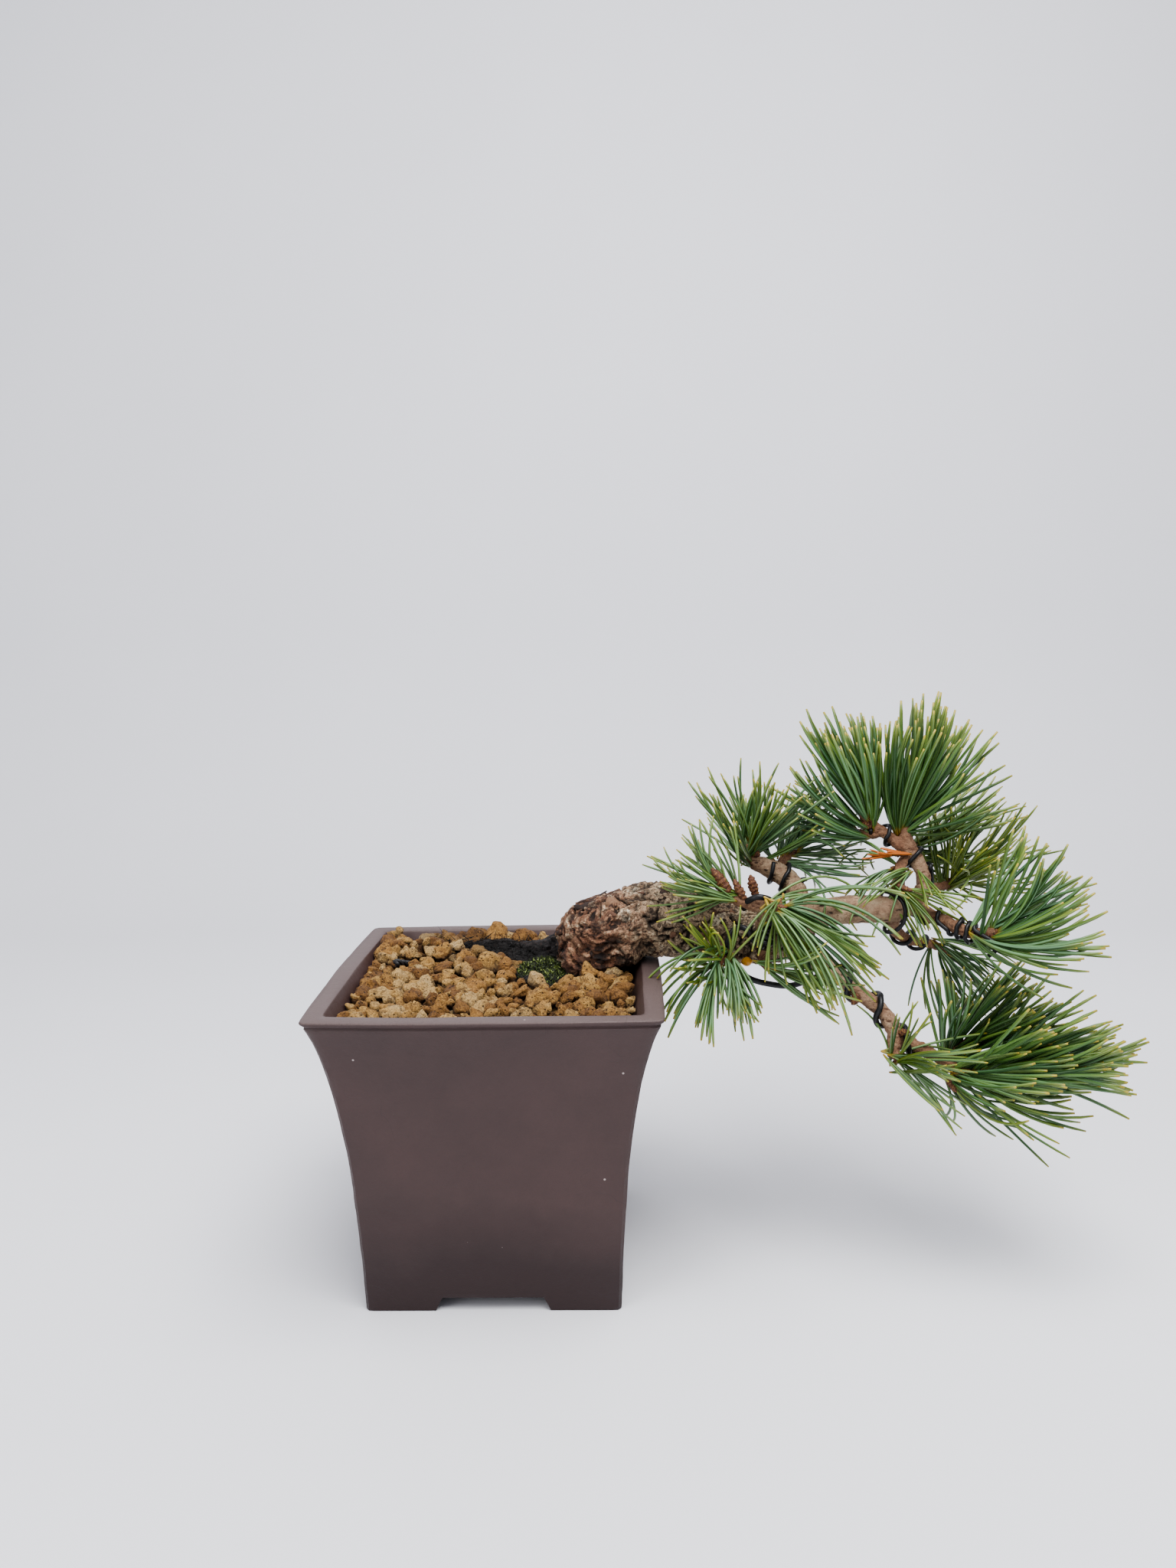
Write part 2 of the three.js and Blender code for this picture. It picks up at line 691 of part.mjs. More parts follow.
const COLOURS = {
  clay: 0x574646,
  netting: 0x2f3a33,
  tie: 0x23262a,
  soil: 0x2b211b,
  roots: 0x1d1714,
  stone: 0xc39a5f,
  moss: 0x2f4a1f,
  bark: 0x7d5f4b,
  wire: 0x17181a,
  needles: 0x3f7340,
};

const pot = makePot();
const drainMesh = makeDrainMesh();
const tie = makeTie();
const tieRoom = makeTie(GAP);

const wires = Object.entries(WIRES).map(([name, wire]) => [name, makeWire(wire)]);
const wireRooms = Object.values(WIRES).map((wire) => makeWire(wire, GAP));
const tree = cutClear(makeTree(), [...wireRooms, tieRoom]);
const treeRoom = makeTree(GAP);

const rootBall = cutClear(makeRootBall(), [treeRoom, tieRoom]);
const ballRoom = makeRootBall(GAP);
const soil = cutClear(makeSoil(), [ballRoom, treeRoom, tieRoom, makeDrainMesh(GAP)]);
const dressing = cutClear(makeDressing(), [ballRoom, treeRoom, tieRoom]);
const moss = cutClear(makeMoss(), [ballRoom, treeRoom, tieRoom, makeDressing()]);

const bonsai = new THREE.Group();
bonsai.add(meshOf("pot", pot, COLOURS.clay, 0.6));
bonsai.add(meshOf("drain_mesh", cutClear(drainMesh, [tieRoom]), COLOURS.netting, 0.7));
bonsai.add(meshOf("tie_wire", tie, COLOURS.tie, 0.4, 0.6));
bonsai.add(meshOf("soil", soil, COLOURS.soil, 0.95));
bonsai.add(meshOf("root_ball", rootBall, COLOURS.roots, 0.9));
bonsai.add(meshOf("stone_dressing", dressing, COLOURS.stone, 0.9));
bonsai.add(meshOf("moss", moss, COLOURS.moss, 0.9));
bonsai.add(meshOf("tree", tree, COLOURS.bark, 0.85));
for (const [name, wire] of wires) {
  bonsai.add(meshOf(name, wire, COLOURS.wire, 0.5, 0.4));
}

const taken = [treeRoom, ...wireRooms, makePot()];
for (const [name, tuft] of Object.entries(TUFTS)) {
  const solid = cutClear(makeTuft(tuft), taken);
  taken.push(makeTuft(tuft, GAP));
  bonsai.add(meshOf(`needles_${name}`, solid, COLOURS.needles, 0.6));
}

const box = new THREE.Box3().setFromObject(bonsai);
const middle = box.getCenter(new THREE.Vector3());
bonsai.position.set(-middle.x, -middle.y, -box.min.z);

export default bonsai;
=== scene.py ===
# %% [markdown]
# # A small white pine bonsai in a tall clay pot
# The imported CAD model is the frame: it fixes every size and place. This lesson dresses it: clay, bark,
# stones, moss, wires and single needles. All shapes are worked out as numpy arrays in millimetres from the
# middle of the pot's base, and one helper carries them into the frame in metres.

import bmesh
import bpy
import numpy as np
from mathutils import Matrix, Vector


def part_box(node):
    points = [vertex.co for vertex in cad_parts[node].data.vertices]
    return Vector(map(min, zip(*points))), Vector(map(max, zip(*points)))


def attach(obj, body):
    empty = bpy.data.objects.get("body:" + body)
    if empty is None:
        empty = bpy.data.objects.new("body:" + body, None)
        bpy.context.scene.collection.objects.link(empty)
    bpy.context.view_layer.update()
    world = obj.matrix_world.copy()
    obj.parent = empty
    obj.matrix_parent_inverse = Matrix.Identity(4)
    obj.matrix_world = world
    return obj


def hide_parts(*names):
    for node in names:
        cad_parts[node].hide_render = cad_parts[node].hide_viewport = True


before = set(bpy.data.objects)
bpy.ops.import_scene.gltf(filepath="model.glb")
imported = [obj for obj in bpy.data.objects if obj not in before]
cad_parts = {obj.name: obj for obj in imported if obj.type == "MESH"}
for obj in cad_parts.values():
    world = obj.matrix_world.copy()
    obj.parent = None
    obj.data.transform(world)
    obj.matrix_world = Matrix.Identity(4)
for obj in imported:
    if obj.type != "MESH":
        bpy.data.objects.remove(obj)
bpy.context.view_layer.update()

pot_low, pot_high = (np.array(corner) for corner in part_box("pot"))
POT_MIDDLE = np.array([(pot_low[0] + pot_high[0]) / 2, (pot_low[1] + pot_high[1]) / 2, pot_low[2]])
POT_HEIGHT = 1000 * (pot_high[2] - pot_low[2])

# %% [markdown]
# ## The camera
# The tree is seen from the front, a little above the rim, from close by. Placing the camera by a position
# and three small angles keeps the perspective of a hand-held camera: tipped down a little, turned a degree
# and rolled a degree.

# %% camera
CAMERA_PLACE = np.array([41.0, -384.0, 226.0])
CAMERA_DOWN, CAMERA_TURN, CAMERA_ROLL = np.radians([7.43, 1.02, -0.82])
CAMERA_LENS = 24.6


def to_frame(points):
    """Millimetres from the middle of the pot's base, as metres in the frame."""
    return np.asarray(points, float) / 1000 + POT_MIDDLE


def make_camera():
    """Axes of a camera: look turned about the vertical, tipped down, then rolled about the line of sight."""
    turn = np.array([np.cos(CAMERA_TURN), np.sin(CAMERA_TURN), 0])
    look = np.array([-np.sin(CAMERA_TURN), np.cos(CAMERA_TURN), 0]) * np.cos(CAMERA_DOWN)
    look[2] = -np.sin(CAMERA_DOWN)
    rise = np.cross(turn, look)
    right = np.cos(CAMERA_ROLL) * turn + np.sin(CAMERA_ROLL) * rise
    up = np.cos(CAMERA_ROLL) * rise - np.sin(CAMERA_ROLL) * turn
    data = bpy.data.cameras.new("camera")
    data.lens = CAMERA_LENS
    data.clip_start = 0.01
    camera = bpy.data.objects.new("camera", data)
    bpy.context.scene.collection.objects.link(camera)
    axes = Matrix([right, up, -look]).transposed().to_4x4()
    camera.matrix_world = Matrix.Translation(Vector(to_frame(CAMERA_PLACE))) @ axes
    bpy.context.scene.camera = camera


make_camera()
print("camera at", np.round(to_frame(CAMERA_PLACE), 3))

# %% [markdown]
# ## Repeatable roughness
# Stones, bark and clay need randomness that is the same on every run and that can be asked for at any point
# of space. Value noise gives each whole-number cell a number and blends between cells. Layers of it, each
# half as wide and half as tall as the one before, make a surface rough at every size.

# %% noise helpers


def lattice(cell, seed):
    """A number from 0 to 1 for each whole-number cell: three products and shifts mixed bit by bit."""
    mixed = (cell[..., 0] * 73856093) ^ (cell[..., 1] * 19349663) ^ (cell[..., 2] * 83492791)
    mixed = (mixed ^ (seed * 40503)) & 0xFFFFFFFF
    mixed = ((mixed ^ (mixed >> 13)) * 1274126177) & 0xFFFFFFFF
    mixed = ((mixed ^ (mixed >> 15)) * 668265263) & 0xFFFFFFFF
    return (mixed ^ (mixed >> 16)) / 0xFFFFFFFF


def noise(points, size, seed=1):
    """Value noise from -1 to 1: the eight corners of each point's cell, blended by smooth steps."""
    place = np.asarray(points) / size
    cell = np.floor(place).astype(np.int64)
    share = place - cell
    share = share * share * (3 - 2 * share)
    total = 0
    for corner in np.ndindex(2, 2, 2):
        weight = np.prod(np.where(corner, share, 1 - share), axis=-1)
        total = total + weight * lattice(cell + np.array(corner), seed)
    return 2 * total - 1


def rough(points, size, seed=1, octaves=3):
    """Noise of falling size: each layer half as wide and half as tall as the one before."""
    layers = (noise(points, size / 2**k, seed + k) / 2**k for k in range(octaves))
    return sum(layers)


def wander(points, size, seed):
    """Three noises of neighbouring seeds, as a shift along x, y and z."""
    return np.stack([noise(points, size, seed + k) for k in range(3)], -1)


def smooth_step(low, high, value):
    """0 below low, 1 above high, and 3t^2 - 2t^3 between."""
    t = np.clip((value - low) / (high - low), 0, 1)
    return t * t * (3 - 2 * t)


print("noise at three points", np.round(noise(np.eye(3) * 7.3, 2.0), 3))

# %% [markdown]
# ## Meshes from arrays
# A piece is a grid of points and the faces between its rows. Tubes close on themselves round the ring and
# are shut at both ends by a fan, so every piece is a closed body with its faces out.

# %% mesh helpers


def make_piece(name, points, faces, material, slot, nodes=(), smooth=True, values=None, uv=None):
    """A mesh object in the frame, riding on the body and standing for its CAD nodes.
    values: one number per point and attribute; uv: one pair per point."""
    mesh = bpy.data.meshes.new(name)
    mesh.from_pydata(to_frame(points).tolist(), [], [face for part in faces for face in part.tolist()])
    for attribute, numbers in (values or {}).items():
        layer = mesh.attributes.new(attribute, "FLOAT", "POINT")
        layer.data.foreach_set("value", np.asarray(numbers, np.float32))
    if uv is not None:
        corners = np.empty(len(mesh.loops), np.int32)
        mesh.loops.foreach_get("vertex_index", corners)
        layer = mesh.uv_layers.new(name="along")
        layer.data.foreach_set("uv", np.asarray(uv, np.float32)[corners].ravel())
    mesh.polygons.foreach_set("use_smooth", np.full(len(mesh.polygons), smooth))
    mesh.materials.append(material)
    mesh.update()
    piece = bpy.data.objects.new(name, mesh)
    bpy.context.scene.collection.objects.link(piece)
    dress_piece(piece, nodes)
    return piece


def dress_piece(piece, nodes):
    """Hangs the piece on the root body and hides the CAD parts that it stands for."""
    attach(piece, "root")
    if nodes:
        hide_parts(*nodes)


def grid_faces(rows, ring, closed=True):
    """Quads between neighbouring rows of a grid; closed joins the ring's last column to its first."""
    row = np.arange(rows - 1)[:, None] * ring
    column = np.arange(ring if closed else ring - 1)[None, :]
    beside = (column + 1) % ring
    quads = [row + column, row + beside, row + ring + beside, row + ring + column]
    return np.stack(quads, axis=-1).reshape(-1, 4)


def repeated(faces, shapes):
    """The faces of one shape, once for each shape, with the point numbers moved on."""
    shift = (np.arange(len(shapes)) * shapes.shape[1])[:, None, None]
    return (faces[None] + shift).reshape(-1, faces.shape[1])


def grid_rim(rows, columns):
    """The numbers of an open grid's edge points, in order round it."""
    index = np.arange(rows * columns).reshape(rows, columns)
    return np.concatenate([index[0, :-1], index[:-1, -1], index[-1, :0:-1], index[:0:-1, 0]])


def unit(vectors):
    """Vectors of length 1."""
    return vectors / np.maximum(np.linalg.norm(vectors, axis=-1, keepdims=True), 1e-12)


def tubes(paths, radii, sides, turn=0.0):
    """Closed tubes along many paths at once.
    paths is (tubes, rows, 3) and radii (tubes, rows). Each row's ring lies square to the path: its first
    direction is the last row's one with the part along the path taken away, so the tube doesn't twist.
    Returns points, quads, end triangles and each point's share of the way along."""
    count, rows, _ = paths.shape
    along = unit(np.gradient(paths, axis=1))
    guess = np.where(np.abs(along[:, :1, 2:]) < 0.9, [[[0.0, 0, 1]]], [[[1.0, 0, 0]]])[:, 0]
    across = np.empty_like(paths)
    for r in range(rows):
        guess = unit(guess - np.sum(guess * along[:, r], -1, keepdims=True) * along[:, r])
        across[:, r] = guess
    beside = np.cross(along, across)
    angle = turn + np.arange(sides) * 2 * np.pi / sides
    ring = across[:, :, None] * np.cos(angle)[:, None] + beside[:, :, None] * np.sin(angle)[:, None]
    body = paths[:, :, None] + radii[:, :, None, None] * ring
    ends = np.stack([paths[:, 0], paths[:, -1]], axis=1)
    points = np.concatenate([body.reshape(count, -1, 3), ends], axis=1)
    column = np.arange(sides)
    beside_column = (column + 1) % sides
    last = (rows - 1) * sides
    start_cap = np.stack([np.full(sides, rows * sides), beside_column, column], -1)
    end_cap = np.stack([np.full(sides, rows * sides + 1), last + column, last + beside_column], -1)
    quads = repeated(grid_faces(rows, sides), points)
    caps = repeated(np.concatenate([start_cap, end_cap]), points)
    share = np.repeat(np.linspace(0, 1, rows), sides)
    share = np.tile(np.concatenate([share, [0.0, 1.0]]), count)
    return points.reshape(-1, 3), quads, caps, share


def joined(parts):
    """Several (points, quads, triangles) as one, with the face numbers moved on."""
    points, quads, caps, shift = [], [], [], 0
    for part_points, part_quads, part_caps in parts:
        points.append(part_points)
        quads.append(part_quads + shift)
        caps.append(part_caps + shift)
        shift += len(part_points)
    return np.concatenate(points), np.concatenate(quads), np.concatenate(caps)


print("a ring of 6 over 3 rows has", len(grid_faces(3, 6)), "quads")

# %% [markdown]
# ## Curves
# Branches and wires follow a smooth curve through a few points. A centripetal Catmull-Rom curve passes
# through every point and makes no loops between points that lie close together.

# %% curves


def curve_through(points, step):
    """Stations a step apart along a centripetal Catmull-Rom curve.
    Knots lie apart by the root of the distance; three rounds of straight blends give the curve. Any further
    columns of the points, such as a radius, are carried along."""
    points = np.asarray(points, float)
    ends = [2 * points[0] - points[1]], [2 * points[-1] - points[-2]]
    hull = np.concatenate([ends[0], points, ends[1]])
    fine = np.linspace(0, 1, 24, endpoint=False)[:, None]
    dense = []
    for p0, p1, p2, p3 in zip(hull, hull[1:], hull[2:], hull[3:]):
        gaps = [max(np.linalg.norm(b[:3] - a[:3]) ** 0.5, 1e-4) for a, b in ((p0, p1), (p1, p2), (p2, p3))]
        t0, t1, t2, t3 = np.cumsum([0, *gaps])
        t = t1 + (t2 - t1) * fine
        a1 = ((t1 - t) * p0 + (t - t0) * p1) / (t1 - t0)
        a2 = ((t2 - t) * p1 + (t - t1) * p2) / (t2 - t1)
        a3 = ((t3 - t) * p2 + (t - t2) * p3) / (t3 - t2)
        b1 = ((t2 - t) * a1 + (t - t0) * a2) / (t2 - t0)
        b2 = ((t3 - t) * a2 + (t - t1) * a3) / (t3 - t1)
        dense.append(((t2 - t) * b1 + (t - t1) * b2) / (t2 - t1))
    dense = np.concatenate([*dense, points[-1:]])
    run = np.concatenate([[0], np.cumsum(np.linalg.norm(np.diff(dense[:, :3], axis=0), axis=1))])
    count = max(3, round(run[-1] / step) + 1)
    stations = np.linspace(0, run[-1], count)
    return np.stack([np.interp(stations, run, column) for column in dense.T], axis=1)


def tube_along(points, radius, sides, step):
    """One tube of a fixed or carried radius through a list of points."""
    path = curve_through(points, step)
    radii = path[:, 3] if path.shape[1] > 3 else np.full(len(path), radius)
    points, quads, caps, _ = tubes(path[None, :, :3], radii[None], sides)
    return points, quads, caps


# %% [markdown]
# ## Materials
# Every finish is a small node network. The helper below starts one with a shader and makes nodes in one
# line each, so that a recipe reads as a list of steps.

# %% material helpers


class Recipe:
    """A material under construction: its nodes, its shader and short ways to add to them."""

    def __init__(self, name, roughness=0.6):
        self.material = bpy.data.materials.new(name)
        self.material.use_nodes = True
        self.nodes = self.material.node_tree.nodes
        self.links = self.material.node_tree.links
        self.shader = self.nodes["Principled BSDF"]
        self.shader.inputs["Roughness"].default_value = roughness
        self.place = self.nodes.new("ShaderNodeTexCoord").outputs["Object"]

    def node(self, kind, inputs=None, **settings):
        """A node with its settings made and its inputs set or linked."""
        made = self.nodes.new("ShaderNode" + kind)
        for key, value in settings.items():
            setattr(made, key, value)
        for key, value in (inputs or {}).items():
            self.feed(made.inputs[key], value)
        return made

    def feed(self, socket, value):
        """Links a socket to an output, or sets its plain value."""
        if isinstance(value, bpy.types.NodeSocket):
            self.links.new(value, socket)
        else:
            socket.default_value = value

    def attribute(self, name):
        return self.node("Attribute", attribute_name=name).outputs["Fac"]

    def grain(self, scale, detail=4.0, rough_share=0.6, place=None):
        """Noise from 0 to 1 at a scale in features per metre."""
        inputs = {"Vector": place or self.place, "Scale": scale, "Detail": detail, "Roughness": rough_share}
        return self.node("TexNoise", inputs).outputs["Fac"]

    def ramp(self, value, stops):
        """Colours at chosen shares of a value."""
        made = self.node("ValToRGB", {"Fac": value})
        band = made.color_ramp.elements
        while len(band) < len(stops):
            band.new(0.5)
        for element, (share, colour) in zip(band, stops):
            element.position = share
            element.color = (*colour, 1)
        return made.outputs["Color"]

    def math(self, operation, first, second=0.5, clamp=False):
        made = self.node("Math", {0: first, 1: second}, operation=operation, use_clamp=clamp)
        return made.outputs[0]

    def between(self, value, low, high, new_low=0.0, new_high=1.0):
        """A value moved from one range to another and held there."""
        inputs = {"Value": value, "From Min": low, "From Max": high, "To Min": new_low, "To Max": new_high}
        return self.node("MapRange", inputs).outputs["Result"]

    def mix(self, share, first, second, blend="MIX"):
        """Two colours mixed."""
        made = self.node("Mix", data_type="RGBA", blend_type=blend)
        for socket, value in ((made.inputs[0], share), (made.inputs[6], first), (made.inputs[7], second)):
            self.feed(socket, (*value, 1) if isinstance(value, tuple) else value)
        return made.outputs[2]

    def bump(self, height, distance, strength=1.0, under=None):
        inputs = {"Height": height, "Distance": distance, "Strength": strength}
        if under is not None:
            inputs["Normal"] = under
        return self.node("Bump", inputs).outputs["Normal"]

    def finish(self, colour=None, roughness=None, normal=None):
        for key, value in (("Base Color", colour), ("Roughness", roughness), ("Normal", normal)):
            if value is not None:
                self.feed(self.shader.inputs[key], value)
        return self.material


# %% [markdown]
# ## Clay
# Unglazed stoneware is dark and fine grained. The colour drifts a little, the foot is darker with painted
# shade and has been rubbed to a soft sheen, and the rim's top is paler with painted light. Thin wandering
# lines and a few pale specks mark the wall.

# %% clay


def clay_finish():
    clay = Recipe("clay", 0.5)
    height = clay.node("SeparateXYZ", {"Vector": clay.place}).outputs["Z"]
    drift = clay.grain(28.0, 5.0)
    fine = clay.grain(2600.0, 3.0, 0.7)
    body = clay.ramp(drift, [(0.3, (0.045, 0.0225, 0.0205)), (0.7, (0.061, 0.0315, 0.0285))])
    # Painted shade: below a height that wavers a little, the clay darkens towards the foot.
    wobble = clay.math("MULTIPLY_ADD", clay.grain(34.0, 3.0), 0.03)
    wobble.node.inputs[2].default_value = -0.015
    level = clay.math("ADD", height, wobble)
    foot = clay.between(level, 0.042, 0.014)
    colour = clay.mix(foot, body, (0.018, 0.0042, 0.004))
    # Painted light: the top of the rim is paler.
    rim = clay.between(height, (POT_HEIGHT - 0.8) / 1000, POT_HEIGHT / 1000)
    rim_top_light = clay.ramp(fine, [(0.3, (0.085, 0.057, 0.053)), (0.75, (0.13, 0.095, 0.088))])
    colour = clay.mix(rim, colour, rim_top_light)
    line_field = clay.grain(26.0, 2.5, 0.5)
    line = clay.math("ABSOLUTE", clay.math("SUBTRACT", line_field, 0.5))
    line = clay.between(line, 0.0016, 0.0004)
    patch = clay.between(clay.grain(17.0, 1.0), 0.5, 0.56)
    line = clay.math("MULTIPLY", line, patch)
    colour = clay.mix(clay.math("MULTIPLY", line, 0.22), colour, (0.012, 0.007, 0.007))
    speck = clay.node("TexVoronoi", {"Vector": clay.place, "Scale": 160.0}).outputs["Distance"]
    few = clay.between(clay.grain(60.0, 0.0), 0.6, 0.62)
    speck = clay.math("MULTIPLY", clay.between(speck, 0.07, 0.045), few)
    colour = clay.mix(speck, colour, (0.4, 0.34, 0.32))
    shade = clay.ramp(fine, [(0.35, (0.5, 0.5, 0.5)), (0.65, (1, 1, 1))])
    colour = clay.mix(0.35, colour, shade, "MULTIPLY")
    gloss = clay.between(foot, 0.0, 1.0, 0.52, 0.4)
    gloss = clay.math("ADD", gloss, clay.between(fine, 0.3, 0.7, -0.05, 0.07))
    tooth = clay.math("ADD", clay.math("MULTIPLY", fine, 0.4), clay.grain(420.0, 4.0))
    normal = clay.bump(tooth, 0.0004, 0.35)
    normal = clay.bump(clay.math("SUBTRACT", 0.0, line), 0.0002, 0.25, normal)
    return clay.finish(colour, gloss, normal)


CLAY = clay_finish()
print("clay has", len(CLAY.node_tree.nodes), "nodes")

# %% [markdown]
# ## The pot
# The pot is one profile carried round a square: from the foot up the flared wall, over the thin lip band
# and the flat rim, and down inside to the floor. A hand-made square is never quite true, so its sides bow out
# towards the rim and the rim wavers by a few tenths of a millimetre. The foot openings and the drain
# hole are cut afterwards with solid cutters, which leaves crisp edges, and a narrow bevel softens them.

# %% pot shape
POT_BASE, POT_RIM, POT_WALL, POT_BOW = 44.0, 58.6, 6.3, 1.3
CORNER_POWER = 60
RIM_BAND = 2.4
FOOT_HEIGHT, FOOT_CUT_LOW, FOOT_CUT_TOP = 5.0, 19.85, 17.35
FLOOR_TOP, DRAIN_RADIUS = 12.0, 6.0
FLARE = np.array([[44.0, 0.0], [45.6, 45.0], [48.5, 88.0], [58.6, 108.0]])


def flare_half(z):
    """Outer half width at a height: the cubic Bezier curve of the flare, read off by height."""
    t = np.linspace(0, 1, 400)[:, None]
    curve = (1 - t) ** 3 * FLARE[0] + 3 * t * (1 - t) ** 2 * FLARE[1]
    curve = curve + 3 * t**2 * (1 - t) * FLARE[2] + t**3 * FLARE[3]
    return np.interp(z, curve[:, 1], curve[:, 0])


def square_ring(count):
    """Points round a square of half width 1, and how far each lies from its side's middle.
    The ring is the superellipse |x|^n + |y|^n = 1, whose high power n leaves the corners a little round."""
    angle = (np.arange(count) + 0.5) * 2 * np.pi / count
    lateral = np.tan((angle % (np.pi / 2)) - np.pi / 4)
    quarter = (angle // (np.pi / 2)).astype(int)
    out = np.ones(count)
    x = np.choose(quarter, [out, -lateral, -out, lateral])
    y = np.choose(quarter, [lateral, out, -lateral, -out])
    reach = (np.abs(x) ** CORNER_POWER + np.abs(y) ** CORNER_POWER) ** (1 / CORNER_POWER)
    return x / reach, y / reach, lateral


def pot_shell():
    """Grid of the pot's skin: rows of the profile, columns round the square.
    A side bows out by bow*rise*(1 - t^2), t from -1 to 1 along it; noise gives the skin its unevenness."""
    wall_z = np.concatenate([[0.0, 0.35], np.linspace(1.4, POT_HEIGHT - RIM_BAND - 0.4, 60)])
    outer = np.stack([flare_half(wall_z), wall_z], 1)
    outer[0, 0] -= 0.35
    band_z = np.array([-RIM_BAND, -RIM_BAND + 0.35, -RIM_BAND + 0.7, -1.2, -0.6, -0.2, 0.0]) + POT_HEIGHT
    band_out = np.array([-0.35, -0.6, -0.1, 0.15, 0.1, -0.15, -0.5])
    band = np.stack([flare_half(band_z) + band_out, band_z], 1)
    rim_half = np.linspace(POT_RIM - 1.2, POT_RIM - POT_WALL + 0.7, 6)
    rim = np.stack([rim_half, np.full(6, POT_HEIGHT)], 1)
    rim[1:-1, 1] += 0.12
    inner_z = np.concatenate([POT_HEIGHT - np.array([0.15, 0.6, 1.4]), np.linspace(104, FLOOR_TOP + 2, 16)])
    inner = np.stack([flare_half(inner_z) - POT_WALL, inner_z], 1)
    floor = np.array([[34.0, FLOOR_TOP], [20.0, FLOOR_TOP], [8.0, FLOOR_TOP]])
    under = np.array([[8.0, 0.0], [20.0, 0.0], [32.0, 0.0]])
    profile = np.concatenate([under, outer, band, rim, inner, floor])
    count = 256
    x, y, lateral = square_ring(count)
    half = profile[:, :1]
    rise = np.clip((half - POT_BASE) / (POT_RIM - POT_BASE), 0, 1)
    bow = POT_BOW * rise * (1 - lateral**2)
    px, py = (half + bow) * x, (half + bow) * y
    pz = np.broadcast_to(profile[:, 1:], px.shape).copy()
    points = np.stack([px, py, pz], -1)
    skin = 0.16 * rough(points.reshape(-1, 3), 17.0, 5).reshape(px.shape)
    skin += 0.05 * rough(points.reshape(-1, 3), 3.0, 9).reshape(px.shape)
    waver = 0.22 * noise(points.reshape(-1, 3) * [1, 1, 0.2], 24.0, 3).reshape(px.shape)
    free = ((half > 30) & (profile[:, 1:] > 6)).astype(float)
    points[..., :2] += (skin * free)[..., None] * np.stack([x, y], -1)
    points[..., 2] += waver * smooth_step(100, 108, pz)
    rows = len(profile)
    caps = [np.arange(count)[::-1], (rows - 1) * count + np.arange(count)]
    return points.reshape(-1, 3), grid_faces(rows, count), caps


def cutter(name, points, faces):
    """A plain closed solid to cut with."""
    mesh = bpy.data.meshes.new(name)
    mesh.from_pydata(to_frame(points).tolist(), [], faces)
    made = bpy.data.objects.new(name, mesh)
    bpy.context.scene.collection.objects.link(made)
    return made


def prism(outline, length, across):
    """A straight bar with a given outline, along Y or, if across, along X."""
    outline = np.asarray(outline, float)
    count = len(outline)
    near = np.column_stack([outline[:, 0], np.full(count, -length), outline[:, 1]])
    points = np.concatenate([near, near + [0, 2 * length, 0]])
    if across:
        points = points[:, [1, 0, 2]] * [-1, 1, 1]
    sides = [[count + k, count + (k + 1) % count, (k + 1) % count, k] for k in range(count)]
    return points, [list(range(count)), list(range(count, 2 * count))[::-1], *sides]


def drain_bore():
    """A round bar down the middle, to cut the drain hole."""
    path = np.array([[[0, 0, -3.0], [0, 0, 20.0]]])
    points, quads, caps, _ = tubes(path, np.full((1, 2), DRAIN_RADIUS), 48)
    return points, [*quads.tolist(), *caps.tolist()]


def applied(piece):
    """The piece with its modifiers made part of its mesh."""
    graph = bpy.context.evaluated_depsgraph_get()
    mesh = bpy.data.meshes.new_from_object(piece.evaluated_get(graph))
    piece.modifiers.clear()
    old, piece.data = piece.data, mesh
    bpy.data.meshes.remove(old)
    return piece


def make_pot():
    """The shell, less two bars under the feet and the drain's bore, with its edges bevelled by half a
    millimetre."""
    points, quads, caps = pot_shell()
    piece = make_piece("pot_body", points, [quads, *[cap[None] for cap in caps]], CLAY, "clay", ["pot"])
    slope = (FOOT_CUT_LOW - FOOT_CUT_TOP) / FOOT_HEIGHT
    low = FOOT_CUT_LOW + 2 * slope
    arch = [[-low, -2], [low, -2], [FOOT_CUT_TOP, FOOT_HEIGHT], [-FOOT_CUT_TOP, FOOT_HEIGHT]]
    tools = [cutter("arch", *prism(arch, 90, across)) for across in (False, True)]
    tools.append(cutter("bore", *drain_bore()))
    for tool in tools:
        cut = piece.modifiers.new(tool.name, "BOOLEAN")
        cut.operation = "DIFFERENCE"
        cut.solver = "EXACT"
        cut.object = tool
    applied(piece)
    for tool in tools:
        bpy.data.objects.remove(tool)
    soften = piece.modifiers.new("edge", "BEVEL")
    soften.width = 0.0005
    soften.segments = 2
    soften.limit_method = "ANGLE"
    soften.angle_limit = np.radians(50)
    applied(piece)
    piece.data.polygons.foreach_set("use_smooth", np.full(len(piece.data.polygons), True))
    piece.data.set_sharp_from_angle(angle=np.radians(38))
    return piece


pot = make_pot()
print("pot:", len(pot.data.polygons), "faces")

# %% [markdown]
# ## The tree's skeleton
# The limbs are the CAD model's: each row is a point on the middle line and the radius there. The trunk
# starts as a half-buried root base at the back, swells to a heavy knuckle at the pot's edge, leans out over
# the rim and divides.

